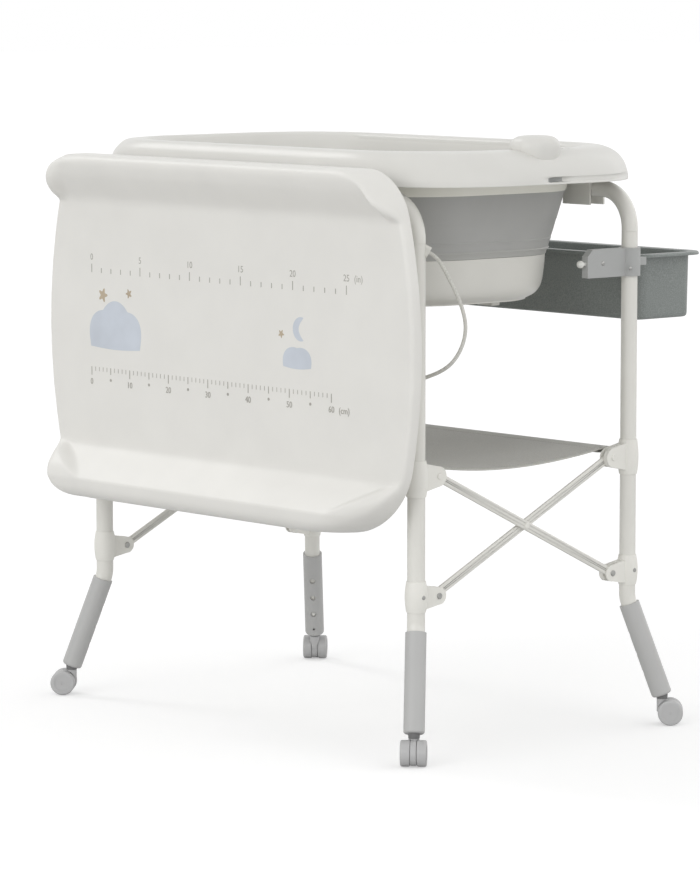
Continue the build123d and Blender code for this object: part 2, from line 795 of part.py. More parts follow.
def make_saddle(side_x, side_y):
    """One saddle, trimmed to the rim's hollow above and the rail below."""
    tube_y, tube_d = frame_sides[side_y]
    channel = tube_d + 2 * saddle_gap
    rail_top = rail_height + tube_d / 2
    middle = Plane((side_x * saddle_x, tube_y, 0))
    with BuildPart() as saddle:
        with BuildSketch(middle.offset(rail_top - overrun)):
            Rectangle(saddle_width, 2 * saddle_rib)
        extrude(amount=rim_top - rail_top + overrun)
        loft(skirt_faces(rim_wall, rim_wall), mode=Mode.INTERSECT)
        with BuildSketch(middle.offset(saddle_bottom)):
            Rectangle(saddle_width, channel + 2 * saddle_wall)
        extrude(amount=rim_skirt_bottom - rim_wall - saddle_bottom)
        with BuildSketch(middle.offset(saddle_bottom - overrun)):
            Rectangle(saddle_width + overrun, channel)
        extrude(amount=rail_height - saddle_bottom + overrun, mode=Mode.SUBTRACT)
        with BuildSketch(Plane(origin=(side_x * saddle_x, tube_y, rail_height), z_dir=(1, 0, 0))):
            Circle(channel / 2)
        extrude(amount=saddle_width, both=True, mode=Mode.SUBTRACT)
    return saddle.part.solid()


saddles = [make_saddle(side_x, side_y) for side_x in (-1, 1) for side_y in (-1, 1)]
save(Compound(children=saddles), "tub_saddles")


# Changing board: a slab with a raised bolster across its top and its bottom
board_back_y = front_y - board_gap
board_face_y = board_back_y - board_thickness
board_corner = 46.0
board_edge_radius = 5.0
bolster_top_radius = 15.0
groove_width = 26.0
groove_rise = 5.0
groove_count = 3
groove_height_share = 0.55
groove_pitch_share = 0.27
bolster_crown_share = 0.36
bolster_foot_share = 0.66

with BuildPart() as board:
    crown_y = board_face_y - bolster_height
    edge_y = crown_y + bolster_top_radius
    crown_in = bolster_width * bolster_crown_share
    foot_in = bolster_width * bolster_foot_share
    front_cut_y = crown_y - overrun
    with BuildSketch(Plane.XZ.offset(-board_back_y)):
        with BuildLine():
            middle = (board_bottom + board_top) / 2
            widest = board_half_width + board_bulge
            ThreePointArc((-board_half_width, board_bottom), (-widest, middle), (-board_half_width, board_top))
            Line((-board_half_width, board_top), (board_half_width, board_top))
            ThreePointArc((board_half_width, board_top), (widest, middle), (board_half_width, board_bottom))
            Line((board_half_width, board_bottom), (-board_half_width, board_bottom))
        make_face()
        fillet(vertices(), board_corner)
    extrude(amount=board_thickness + bolster_height)
    with BuildSketch(Plane.YZ):
        with BuildLine():
            Line((edge_y, board_top + overrun), (edge_y, board_top))
            ThreePointArc((edge_y, board_top), (crown_y, board_top - crown_in), (edge_y, board_top - foot_in))
            Line((edge_y, board_top - foot_in), (board_face_y, board_top - bolster_width))
            Line((board_face_y, board_top - bolster_width), (board_face_y, board_bottom + bolster_width))
            Line((board_face_y, board_bottom + bolster_width), (edge_y, board_bottom + foot_in))
            ThreePointArc((edge_y, board_bottom + foot_in), (crown_y, board_bottom + crown_in), (edge_y, board_bottom))
            Line((edge_y, board_bottom), (edge_y, board_bottom - overrun))
            Polyline(
                (edge_y, board_bottom - overrun),
                (front_cut_y, board_bottom - overrun),
                (front_cut_y, board_top + overrun),
                (edge_y, board_top + overrun),
            )
        make_face()
    extrude(amount=board_half_width + board_bulge + overrun, both=True, mode=Mode.SUBTRACT)
    back = board.faces().filter_by(Axis.Y).sort_by(Axis.Y)[-1]
    fillet(back.edges(), board_edge_radius)
    with BuildSketch(Plane.XZ.offset(-board_back_y)):
        with Locations((0, (board_bottom + board_top) / 2)):
            with GridLocations(groove_pitch_share * 2 * board_half_width, 0, groove_count, 1):
                SlotOverall((board_top - board_bottom) * groove_height_share, groove_width, rotation=90)
    extrude(amount=groove_rise, mode=Mode.SUBTRACT)
save(board.part, "board")


# Board hinges: knuckles on the board's back and brackets on the front rail
hinge_x = 178.0
hinge_height = 897.0
hinge_gap = 9.0
hinge_y = board_back_y + hinge_gap
knuckle_d = 12.0
hinge_pin_d = 5.0
bracket_width = 22.0
board_knuckle_width = 12.0
knuckle_side_gap = 0.4
leaf_thickness = 3.0
leaf_height = 40.0
bracket_arm = 6.0
bracket_clip_wall = 4.0
bracket_arm_height = 869.0
pin_head_d = 8.0
pin_head_length = 2.0


def make_knuckle_leaf(x_start, width):
    """Board's half of a hinge: a leaf on its back and a knuckle."""
    leaf_low = hinge_height - leaf_height + knuckle_d
    with BuildPart() as leaf:
        with BuildSketch(Plane.YZ.offset(x_start)):
            with Locations((board_back_y, leaf_low)):
                Rectangle(leaf_thickness, leaf_height - knuckle_d / 2, align=(Align.MIN, Align.MIN))
            with Locations((board_back_y, hinge_height - knuckle_d / 2)):
                Rectangle(hinge_gap, knuckle_d, align=(Align.MIN, Align.MIN))
            with Locations((hinge_y, hinge_height)):
                Circle(knuckle_d / 2)
                Circle(hinge_pin_d / 2 + running_clearance, mode=Mode.SUBTRACT)
        extrude(amount=width)
    return leaf.part.solid()


def make_bracket(side_x):
    """Frame's half of a hinge: a clip round the rail, an arm and a knuckle."""
    rail_r = front_tube_d / 2
    clip_r = rail_r + bracket_clip_wall
    arm_back = bracket_arm_height - bracket_arm / 2
    with BuildPart() as bracket:
        with BuildSketch(Plane.YZ.offset(side_x * hinge_x - bracket_width / 2)):
            with BuildLine():
                Polyline(
                    (front_y, arm_back),
                    (hinge_y + bracket_arm / 2, arm_back),
                    (hinge_y - bracket_arm / 2, arm_back + bracket_arm),
                    (hinge_y - bracket_arm / 2, hinge_height),
                    (hinge_y + bracket_arm / 2, hinge_height),
                    (hinge_y + bracket_arm / 2, arm_back + 1.5 * bracket_arm),
                    (hinge_y + bracket_arm, arm_back + bracket_arm),
                    (front_y, arm_back + bracket_arm),
                    (front_y, arm_back),
                )
            make_face()
            with Locations((front_y, rail_height)):
                Circle(clip_r)
                Circle(rail_r, mode=Mode.SUBTRACT)
            with Locations((hinge_y, hinge_height)):
                Circle(knuckle_d / 2)
                Circle(hinge_pin_d / 2, mode=Mode.SUBTRACT)
        extrude(amount=bracket_width)
    return bracket.part.solid()


def make_hinge_pin(side_x):
    """Headed pin through one hinge."""
    reach = bracket_width / 2 + knuckle_side_gap + board_knuckle_width + knuckle_side_gap
    with BuildPart() as pin:
        with BuildSketch(Plane(origin=(side_x * hinge_x, hinge_y, hinge_height), z_dir=(1, 0, 0))):
            Circle(hinge_pin_d / 2)
        extrude(amount=reach, both=True)
        for direction in (-1, 1):
            end = side_x * hinge_x + direction * reach
            with BuildSketch(Plane(origin=(end, hinge_y, hinge_height), z_dir=(direction, 0, 0))):
                Circle(pin_head_d / 2)
            extrude(amount=pin_head_length)
    return pin.part.solid()


cord_d = 6.0
cord_end_height = 622.0
cord_end_x = 339.5
cord_end_y = -324.5
cord_clip_width = 20.0
cord_clip_height = 14.0

with BuildPart() as cord_clip:
    with BuildSketch(Plane((cord_end_x, board_back_y, cord_end_height))):
        Rectangle(cord_clip_width, hinge_gap, align=(Align.CENTER, Align.MIN))
        fillet(vertices().group_by(Axis.Y)[-1], hinge_gap / 3)
    extrude(amount=cord_clip_height)

fittings = [cord_clip.part.solid()]
brackets = []
for side_x in (-1, 1):
    outer = bracket_width / 2 + knuckle_side_gap
    fittings.append(make_knuckle_leaf(side_x * hinge_x + outer, board_knuckle_width))
    fittings.append(make_knuckle_leaf(side_x * hinge_x - outer - board_knuckle_width, board_knuckle_width))
    brackets.append(make_bracket(side_x))
    brackets.append(make_hinge_pin(side_x))
save(Compound(children=fittings), "board_fittings")
save(Compound(children=brackets), "board_hinge_brackets")


# Stay cord: from the front right upright, down and up again behind the board
cord_heading = (0.66, 0.75)
cord_anchor_offset = front_tube_d / 2 + 5.0
cord_anchor_height = 783.0
cord_loop = ((30, 777), (41, 760), (56, 731), (70, 700), (77, 666), (68, 631), (46, 603))
cord_back = (
    (366, -248, 583),
    (349, -280, 567),
    (346, -303, 561),
    (342, -319, 575),
    (339.5, -324.5, 600),
)
anchor_width = 14.0
anchor_height = 18.0
anchor_corner = 4.0


def beside_upright(offset, height):
    """Point at an offset from the front right upright along the cord's heading."""
    return (half_x + cord_heading[0] * offset, front_y + cord_heading[1] * offset, height)


def corner_radii(points):
    """Radius of each bend: 0.45 of the shorter run over the half turn's tangent."""
    radii = []
    for before, corner, after in zip(points, points[1:], points[2:]):
        inward = Vector(corner) - Vector(before)
        outward = Vector(after) - Vector(corner)
        half_turn = radians(inward.get_angle(outward)) / 2
        radii.append(0.45 * min(inward.length, outward.length) / tan(half_turn))
    return radii


cord_points = [beside_upright(cord_anchor_offset, cord_anchor_height)]
cord_points += [beside_upright(offset, height) for offset, height in cord_loop]
cord_points += list(cord_back)
cord_points.append((cord_end_x, cord_end_y, cord_end_height))
cord_radii = corner_radii(cord_points)
print("cord radii", [round(radius, 1) for radius in cord_radii])
with BuildPart() as stay_cord:
    with BuildLine() as cord_line:
        FilletPolyline(*cord_points, radius=cord_radii)
    with BuildSketch(Plane(origin=cord_points[0], z_dir=Vector(cord_points[1]) - Vector(cord_points[0]))):
        Circle(cord_d / 2)
    sweep()
cord_length = sum(edge.length for edge in cord_line.edges())
cord_section = pi * cord_d**2 / 4
print("cord length", round(cord_length, 1), "volume over section", round(stay_cord.part.volume / cord_section, 1))
save(stay_cord.part, "stay_cord")


# Clamps on the rear uprights: an arm with a latch knob, and a tray hook behind
clamp_wall = 4.5
arm_thickness = 13.0
arm_tip = 99.5
arm_corner = 11.0
knob_d = 12.0
knob_stem_d = 6.0
knob_stem_length = 6.0
knob_socket_depth = 9.0
knob_travel = 4.0
hook_reach = 49.0
hook_thickness = 12.0
hook_height = 754.2
tongue_thickness = 3.0
tongue_rise = 7.0
tongue_width = 18.0
tongue_y = rear_y + 29.0
clamp_middle = clamp_bottom + clamp_height / 2


def make_clamp(side_x):
    """Moulded clamp: a ring, a chamfered arm, and a hook plate for the tray."""
    upright_x = side_x * half_x
    ring_r = rear_tube_d / 2 + clamp_wall
    hook_x = side_x * (half_x - hook_reach)
    with BuildPart() as clamp:
        with BuildSketch(Plane((upright_x, rear_y, clamp_bottom))):
            Circle(ring_r)
        extrude(amount=clamp_height)
        with BuildSketch(Plane(origin=(upright_x, rear_y, clamp_middle), x_dir=(0, -1, 0), z_dir=(side_x, 0, 0))):
            with Locations((arm_tip / 2, 0)):
                Rectangle(arm_tip, clamp_height)
            chamfer(vertices().group_by(Axis.Y)[0], arm_corner)
        extrude(amount=arm_thickness / 2, both=True)
        with BuildSketch(Plane((upright_x, rear_y, hook_height))):
            with Locations(Location((-side_x * hook_reach / 2, ring_r))):
                Rectangle(hook_reach, tray_offset - ring_r - slide_clearance, align=(Align.CENTER, Align.MIN))
        extrude(amount=-hook_thickness)
        with BuildSketch(Plane((upright_x, rear_y, hook_height))):
            Rectangle(ring_r, ring_r + hook_thickness, align=(Align.CENTER, Align.MIN))
        extrude(amount=-hook_thickness)
        with BuildSketch(Plane((hook_x + side_x * tongue_width / 2, tongue_y, hook_height))):
            Rectangle(tongue_width, tongue_thickness)
        extrude(amount=tongue_rise)
        with BuildSketch(Plane((upright_x, rear_y, clamp_bottom - overrun))):
            Circle(rear_tube_d / 2)
        extrude(amount=clamp_height + 2 * overrun, mode=Mode.SUBTRACT)
        with BuildSketch(Plane(origin=(upright_x, rear_y - arm_tip, clamp_middle), z_dir=(0, 1, 0))):
            Circle(knob_stem_d / 2 + running_clearance)
        extrude(amount=knob_socket_depth + knob_travel, mode=Mode.SUBTRACT)
    return clamp.part


def make_knob(side_x):
    """Ball-ended latch plunger in the tip of a clamp's arm."""
    tip = (side_x * half_x, rear_y - arm_tip, clamp_middle)
    with BuildPart() as knob:
        with BuildSketch(Plane(origin=tip, z_dir=(0, 1, 0))):
            Circle(knob_stem_d / 2)
        extrude(amount=knob_socket_depth)
        with BuildSketch(Plane(origin=tip, z_dir=(0, -1, 0))):
            Circle(knob_stem_d / 2)
        extrude(amount=knob_stem_length)
        with Locations((side_x * half_x, rear_y - arm_tip - knob_stem_length - knob_d / 3, clamp_middle)):
            Sphere(knob_d / 2)
    return knob.part


save_pair(lambda side_x: make_clamp(side_x), "rear_clamps")
for side_x, end_name in ((-1, "left"), (1, "right")):
    save(make_knob(side_x), f"latch_knob_{end_name}")


# Tray: a drafted open box with an out-turned flange, slotted for the tongues
tray_draft = 6.0
tray_corner = 24.0
tray_flange = 17.0
tray_flange_thickness = 2.5
tray_edge_radius = 8.0
tray_centre_y = rear_y + tray_offset + tray_width / 2
slot_gap = 0.8

def tray_outline(height, draft, inset=0.0):
    """One level rounded outline of the tray."""
    with BuildSketch(Plane((0, tray_centre_y, height))) as section:
        RectangleRounded(
            2 * (tray_half_length - draft - inset),
            tray_width - 2 * draft - 2 * inset,
            tray_corner - draft - inset,
        )
    return section.sketch.faces()[0]


tray_floor = tray_top - tray_depth
with BuildPart() as tray:
    loft([tray_outline(tray_floor, tray_draft), tray_outline(tray_top, 0)])
    fillet(tray.faces().sort_by(Axis.Z)[0].edges(), tray_edge_radius)
    extrude(tray_outline(tray_top - tray_flange_thickness, 0, -tray_flange), amount=tray_flange_thickness)
    loft(
        [tray_outline(tray_floor + tray_wall, tray_draft, tray_wall), tray_outline(tray_top + overrun, 0, tray_wall)],
        mode=Mode.SUBTRACT,
    )
    tongue_x = half_x - hook_reach + tongue_width / 2
    with BuildSketch(Plane((0, tongue_y, tray_top - tray_flange_thickness))):
        with Locations((-tongue_x, 0), (tongue_x, 0)):
            Rectangle(tongue_width + 2 * slot_gap, tongue_thickness + 2 * slot_gap)
    extrude(amount=tray_flange_thickness, both=True, mode=Mode.SUBTRACT)
save(tray.part, "tray")


# Fasteners: collar screws, lower rivets and the cord's anchor plate
def make_collar_screw(side_x, side_y):
    """Pan-head screw in the outer side of a fixed collar."""
    tube_y, tube_d = frame_sides[side_y]
    middle = lower_collar_bottom + lower_collar_height / 2
    seat = tube_d / 2 + collar_bulge - screw_seat
    with BuildPart() as screw:
        with BuildSketch(Plane(origin=(side_x * (half_x + seat), tube_y, middle), z_dir=(side_x, 0, 0))):
            Circle(screw_head_d / 2)
        extrude(amount=screw_head_height)
        with BuildSketch(Plane(origin=(side_x * (half_x + tube_d / 2), tube_y, middle), z_dir=(side_x, 0, 0))):
            Circle(screw_d / 2)
        extrude(amount=collar_bulge - screw_seat)
        chamfer(screw.faces().filter_by(Axis.X).sort_by(Axis.X)[-1 if side_x > 0 else 0].edges(), screw_head_height / 3)
    return screw.part.solid()


for side_y, side_name in ((-1, "front"), (1, "rear")):
    pieces = [make_collar_screw(side_x, side_y) for side_x in (-1, 1)]
    pieces += pivot_rivets(side_y, lower_pivot_height)
    if side_y < 0:
        with BuildPart() as anchor:
            anchor_face = Plane(
                origin=cord_points[0],
                x_dir=(-cord_heading[1], cord_heading[0], 0),
                z_dir=Vector(cord_points[1]) - Vector(cord_points[0]),
            )
            with BuildSketch(anchor_face):
                RectangleRounded(anchor_width, anchor_height, anchor_corner)
            extrude(amount=-front_tube_d / 2)
            with BuildSketch(Plane((half_x, front_y, cord_anchor_height - anchor_height))):
                Circle(front_tube_d / 2)
            extrude(amount=2 * anchor_height, mode=Mode.SUBTRACT)
        pieces.append(anchor.part.solids().sort_by(SortBy.VOLUME)[-1])
    save(Compound(children=pieces), f"{side_name}_fasteners")
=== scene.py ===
"""Looks of a changing table with bathtub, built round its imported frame.

Metres: +X runs along the table, -Y is the side with the changing board, +Z is
up. Lengths below are millimetres times mm, or plain millimetres in tuples that
a helper scales.
"""
import math
import bmesh
import bpy
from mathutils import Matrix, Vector
from mathutils.bvhtree import BVHTree
from mathutils.noise import noise


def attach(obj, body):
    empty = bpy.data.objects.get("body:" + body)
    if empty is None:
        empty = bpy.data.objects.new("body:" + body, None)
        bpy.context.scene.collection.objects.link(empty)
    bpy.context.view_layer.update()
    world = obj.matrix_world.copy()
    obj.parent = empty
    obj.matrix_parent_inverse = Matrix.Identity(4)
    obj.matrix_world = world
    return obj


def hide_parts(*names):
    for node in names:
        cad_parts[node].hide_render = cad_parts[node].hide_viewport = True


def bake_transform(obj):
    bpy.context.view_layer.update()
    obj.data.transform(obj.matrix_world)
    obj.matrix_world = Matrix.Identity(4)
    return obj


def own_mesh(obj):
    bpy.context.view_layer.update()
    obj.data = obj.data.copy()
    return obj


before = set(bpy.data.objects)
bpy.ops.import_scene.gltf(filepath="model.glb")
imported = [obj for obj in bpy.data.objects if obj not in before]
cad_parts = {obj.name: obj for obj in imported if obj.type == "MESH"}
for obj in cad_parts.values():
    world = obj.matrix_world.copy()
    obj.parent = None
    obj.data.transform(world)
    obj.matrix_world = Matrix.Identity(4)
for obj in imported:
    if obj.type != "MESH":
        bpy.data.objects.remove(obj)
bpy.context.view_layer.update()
scene = bpy.context.scene
mm = 0.001

# Camera at the photograph's angle
camera_lens = 178.5
camera_turn = (83.68, 0.0, 48.71)
camera_place = (5.2607, -4.6819, 1.2316)


def add_camera():
    """Camera of the main view, and the plain view transform."""
    data = bpy.data.cameras.new("camera")
    data.lens = camera_lens
    camera = link("camera", data)
    camera.rotation_euler = [math.radians(angle) for angle in camera_turn]
    camera.location = camera_place
    scene.camera = camera
    scene.view_settings.view_transform = "Standard"


# Mesh helpers
def link(name, data, material=None):
    """New object of a mesh or curve, with its material."""
    piece = bpy.data.objects.new(name, data)
    scene.collection.objects.link(piece)
    if material:
        data.materials.append(material)
    return piece


def settle(piece, body, node=None):
    """Ride a piece on its body and hide the node it stands for."""
    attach(piece, body)
    if node:
        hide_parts(node)
    return piece


def add_piece(mesh, material, creases, body, node=None):
    """Piece named as its mesh, smooth but for creases over an angle if one is given."""
    if creases:
        soften(mesh, creases)
    return settle(link(mesh.name, mesh, material), body, node)


def evaluated_mesh(piece):
    """New mesh of a piece with its modifiers or text applied."""
    bpy.context.view_layer.update()
    return bpy.data.meshes.new_from_object(piece.evaluated_get(bpy.context.evaluated_depsgraph_get()))


def make_mesh(name, points, faces):
    """Mesh with its faces turned outward."""
    mesh = bpy.data.meshes.new(name)
    mesh.from_pydata([tuple(point) for point in points], [], faces)
    solid = bmesh.new()
    solid.from_mesh(mesh)
    bmesh.ops.recalc_face_normals(solid, faces=solid.faces)
    solid.to_mesh(mesh)
    solid.free()
    return mesh


def soften(mesh, angle=34):
    """Smooth shading, with creases where faces meet at more than the angle."""
    mesh.shade_smooth()
    mesh.set_sharp_from_angle(angle=math.radians(angle))


def loft(name, rings, closed=False):
    """Quads between rings of equal counts, as a closed loop or with capped ends."""
    count = len(rings[0])
    last = (len(rings) - 1) * count
    faces = []
    for span in range(len(rings) if closed else len(rings) - 1):
        low = span * count
        high = (span + 1) % len(rings) * count
        for here in range(count):
            there = (here + 1) % count
            faces.append((low + here, low + there, high + there, high + here))
    if not closed:
        faces += [tuple(reversed(range(count))), tuple(range(last, last + count))]
    return make_mesh(name, [point for ring in rings for point in ring], faces)


def smooth_line(points, steps):
    """Curve through number tuples; a tuple given twice keeps its corner."""
    line = []
    last = len(points) - 1
    for index in range(last):
        start, end = points[index], points[index + 1]
        before, after = points[max(index - 1, 0)], points[min(index + 2, last)]
        if start == end:
            continue
        for step in range(steps):
            t = step / steps
            line.append(tuple(
                0.5 * (2 * b + (c - a) * t + (2 * a - 5 * b + 4 * c - d) * t * t
                       + (3 * b - a - 3 * c + d) * t**3)
                for a, b, c, d in zip(before, start, end, after)
            ))
    line.append(points[last])
    return line


def clamp01(value):
    """Value held between 0 and 1."""
    return min(max(value, 0.0), 1.0)


def ease(low, high, value):
    """Smooth step from 0 at low to 1 at high."""
    t = clamp01((value - low) / (high - low))
    return t * t * (3 - 2 * t)


def on_circle(x, y, radius, angle):
    """Pair of numbers for a place on a circle about a middle."""
    return x + radius * math.cos(angle), y + radius * math.sin(angle)


corner_steps = 16
side_steps = 14


def rounded_ring(half_x, half_y, corner, height, centre):
    """Level rounded rectangle in millimetres as a ring of points in metres."""
    arcs = []
    for quarter, (sign_x, sign_y) in enumerate(((1, 1), (-1, 1), (-1, -1), (1, -1))):
        middle_x = centre[0] + sign_x * (half_x - corner)
        middle_y = centre[1] + sign_y * (half_y - corner)
        turns = [math.pi / 2 * (quarter + step / corner_steps) for step in range(corner_steps + 1)]
        arcs.append([Vector((*on_circle(middle_x, middle_y, corner, turn), height)) for turn in turns])
    ring = []
    for index, arc in enumerate(arcs):
        ring += arc
        start, end = arc[-1], arcs[(index + 1) % 4][0]
        ring += [start.lerp(end, step / side_steps) for step in range(1, side_steps)]
    return [point * mm for point in ring]


def tube_mesh(name, path, radius, sides):
    """Round tube along a path, with its ring carried without twist."""
    rings = []
    normal = None
    for index, point in enumerate(path):
        ahead = path[min(index + 1, len(path) - 1)] - path[max(index - 1, 0)]
        ahead.normalize()
        if normal is None:
            normal = ahead.orthogonal().normalized()
        normal = (normal - ahead * normal.dot(ahead)).normalized()
        side = ahead.cross(normal)
        rings.append([
            point + radius * (math.cos(2 * math.pi * turn / sides) * normal
                              + math.sin(2 * math.pi * turn / sides) * side)
            for turn in range(sides)
        ])
    return loft(name, rings)


def block(name, centre, half, edge, segments=3):
    """Box of half sizes about a centre, in millimetres, with rounded edges."""
    solid = bmesh.new()
    bmesh.ops.create_cube(solid, size=2)
    for vertex in solid.verts:
        vertex.co = Vector([(centre[i] + vertex.co[i] * half[i]) * mm for i in range(3)])
    bmesh.ops.bevel(
        solid, geom=solid.edges[:], offset=edge * mm, segments=segments, profile=0.5, affect="EDGES"
    )
    mesh = bpy.data.meshes.new(name)
    solid.to_mesh(mesh)
    solid.free()
    return mesh


def merged(name, meshes):
    """One mesh out of several."""
    whole = bmesh.new()
    for mesh in meshes:
        whole.from_mesh(mesh)
    mesh = bpy.data.meshes.new(name)
    whole.to_mesh(mesh)
    whole.free()
    return mesh


def cut(piece, cutters):
    """Take the cutter meshes out of a piece and keep the result as its mesh."""
    cutter = link("cutter", merged("cutter", cutters))
    boolean = piece.modifiers.new("cut", "BOOLEAN")
    boolean.solver = "EXACT"
    boolean.object = cutter
    result = evaluated_mesh(piece)
    piece.modifiers.remove(boolean)
    piece.data = result
    bpy.data.objects.remove(cutter)


# Materials
def linear(channel):
    """Linear value of one display channel."""
    return channel / 12.92 if channel <= 0.04045 else ((channel + 0.055) / 1.055) ** 2.4


def colour(red, green, blue):
    """Linear colour of a display colour."""
    return (linear(red), linear(green), linear(blue), 1.0)


def set_inputs(tree, node, inputs):
    """Give a node's inputs their values, or link them to other nodes."""
    for name, value in inputs.items():
        if isinstance(value, bpy.types.NodeSocket):
            tree.links.new(value, node.inputs[name])
        else:
            node.inputs[name].default_value = value


def add_node(tree, kind, inputs, **settings):
    """New shader node of a kind, with its settings and then its inputs."""
    node = tree.nodes.new("ShaderNode" + kind)
    for name, value in settings.items():
        setattr(node, name, value)
    set_inputs(tree, node, inputs)
    return node


def math_node(tree, operation, first, second):
    """Result of a sum on two inputs."""
    return add_node(tree, "Math", {0: first, 1: second}, operation=operation).outputs[0]


def start_material(name):
    """Node material with its tree, its shader and object coordinates."""
    material = bpy.data.materials.new(name)
    material.use_nodes = True
    tree = material.node_tree
    return material, tree, tree.nodes["Principled BSDF"], add_node(tree, "TexCoord", {}).outputs["Object"]


def noise_node(tree, place, scale, detail=3.0, roughness=0.5):
    """Noise texture at a number of features to the metre."""
    inputs = {"Scale": scale, "Detail": detail, "Roughness": roughness, "Vector": place}
    return add_node(tree, "TexNoise", inputs).outputs["Fac"]


def ramp_between(tree, factor, low, high, start=0.3, end=0.7):
    """Colour ramp between two colours."""
    ramp = add_node(tree, "ValToRGB", {"Fac": factor})
    first, last = ramp.color_ramp.elements
    first.position, first.color = start, low
    last.position, last.color = end, high
    return ramp.outputs["Color"]


def map_range(tree, factor, low, high):
    """Factor from 0 to 1 spread between two numbers."""
    inputs = {"From Min": 0.3, "From Max": 0.7, "To Min": low, "To Max": high, "Value": factor}
    return add_node(tree, "MapRange", inputs).outputs["Result"]


def bumped(tree, height, distance, strength=0.5):
    """Normal of a bump."""
    inputs = {"Distance": distance, "Strength": strength, "Height": height}
    return add_node(tree, "Bump", inputs).outputs["Normal"]


def shaded(tint, share):
    """Colour made darker by a share."""
    return tuple(channel * (1 - share) for channel in tint[:3]) + (1.0,)


# Features to the metre of cloudy tints, of uneven gloss and of metal
cloud_scale, smear_scale, metal_scale, marks_scale = 14.0, 45.0, 60.0, 700.0


def plastic(
    name, tint, roughness=0.35, grain=900.0, depth=0.00002, spread=0.02, coat=0.0, mottle=0.03, shine=0.5
):
    """Moulded plastic or paint: cloudy tint, uneven gloss and a fine skin."""
    material, tree, shader, place = start_material(name)
    cloud = noise_node(tree, place, cloud_scale)
    smear = noise_node(tree, place, smear_scale, 4.0)
    set_inputs(tree, shader, {
        "Base Color": ramp_between(tree, cloud, shaded(tint, mottle), tint),
        "Roughness": map_range(tree, smear, roughness - spread, roughness + spread),
        "Normal": bumped(tree, noise_node(tree, place, grain, 2.0), depth),
        "Specular IOR Level": shine, "Coat Weight": coat, "Coat Roughness": 0.15,
    })
    return material


def metal(name, tint, roughness, spread=0.08):
    """Plated steel with fine turning marks."""
    material, tree, shader, place = start_material(name)
    marks = noise_node(tree, place, marks_scale, 4.0)
    set_inputs(tree, shader, {
        "Metallic": 1.0,
        "Base Color": ramp_between(tree, noise_node(tree, place, metal_scale), shaded(tint, 0.15), tint),
        "Roughness": map_range(tree, marks, roughness - spread, roughness + spread),
        "Normal": bumped(tree, marks, 0.00003),
    })
    return material


def woven(name, tint, thread=0.0011):
    """Plain weave of two thread directions with uneven yarn."""
    material, tree, shader, place = start_material(name)
    inputs = {"Scale": 1 / thread / 3.14, "Distortion": 0.6, "Detail Scale": 2.0, "Vector": place}
    waves = [add_node(tree, "TexWave", inputs, bands_direction=way).outputs["Fac"] for way in "XY"]
    yarn = noise_node(tree, place, 260.0, 4.0)
    threads = math_node(tree, "ADD", math_node(tree, "MULTIPLY", *waves), yarn)
    set_inputs(tree, shader, {
        "Base Color": ramp_between(tree, threads, shaded(tint, 0.22), tint, 0.35, 1.0),
        "Roughness": 0.85, "Sheen Weight": 0.25, "Sheen Roughness": 0.5,
        "Normal": bumped(tree, threads, 0.00025, 0.6),
    })
    return material


def speckled(name, tint, light, roughness, spread=0.05):
    """Smoky moulded plastic with fine pale flecks in a frosted skin."""
    material, tree, shader, place = start_material(name)
    cloud = noise_node(tree, place, 9.0)
    base = ramp_between(tree, cloud, shaded(tint, 0.10), tint)
    fleck = noise_node(tree, place, 620.0, 3.0, 0.7)
    inputs = {"Factor": map_range(tree, fleck, -0.2, 0.75), "A": base, "B": light}
    mix = add_node(tree, "Mix", inputs, data_type="RGBA", clamp_factor=True)
    set_inputs(tree, shader, {
        "Base Color": mix.outputs["Result"],
        "Roughness": map_range(tree, cloud, roughness - spread, roughness + spread),
        "Normal": bumped(tree, fleck, 0.00008),
    })
    return material


materials = {
    "white_tube": plastic("painted_tube", colour(0.875, 0.87, 0.845), 0.38, coat=0.3),
    "white_moulding": plastic("white_moulding", colour(0.90, 0.895, 0.87), 0.5, 700.0, 0.00005),
    "white_gloss": plastic("rim_plastic", colour(0.85, 0.846, 0.828), 0.34, 700.0, shine=0.3),
    "grey_sleeve": plastic("sleeve_plastic", colour(0.715, 0.715, 0.71), 0.45, 800.0, 0.00008),
    "grey_wheel": plastic("wheel_plastic", colour(0.72, 0.72, 0.72), 0.42, 600.0),
    "dark_neck": plastic("neck_plastic", colour(0.45, 0.45, 0.45), 0.5),
    "grey_clamp": plastic("clamp_plastic", colour(0.66, 0.665, 0.66), 0.48, 800.0, 0.0001),
    "button_white": plastic("button_plastic", colour(0.87, 0.87, 0.85), 0.28),
    "board_shell": plastic("board_plastic", colour(0.885, 0.88, 0.862), 0.4, 420.0, 0.00003, shine=0.3),
    "tub_ring_beige": plastic("ring_plastic", colour(0.93, 0.925, 0.885), 0.4),
    "tub_elastomer": plastic("soft_wall", colour(0.675, 0.675, 0.665), 0.55, 900.0, 0.0001, mottle=0.05),
    "tray_plastic": speckled("tray_plastic", colour(0.47, 0.49, 0.48), colour(0.61, 0.63, 0.62), 0.42),
    "shelf_cloth": woven("shelf_weave", colour(0.76, 0.755, 0.73)),
    "cord": woven("cord_braid", colour(0.84, 0.835, 0.81), 0.0016),
}
base_plastic = plastic("base_plastic", colour(0.86, 0.855, 0.83), 0.36, 500.0, coat=0.15)
lower_ring_plastic = plastic("lower_ring_plastic", colour(0.68, 0.68, 0.665), 0.45)
dark_steel = metal("dark_screw", colour(0.70, 0.70, 0.69), 0.45)
plug_plastic = plastic("plug_plastic", colour(0.55, 0.55, 0.54), 0.4)
ink_grey = plastic("ink_grey", colour(0.67, 0.66, 0.63), 0.55, mottle=0.15)
ink_blue = plastic("ink_blue", colour(0.785, 0.81, 0.845), 0.5, mottle=0.12)
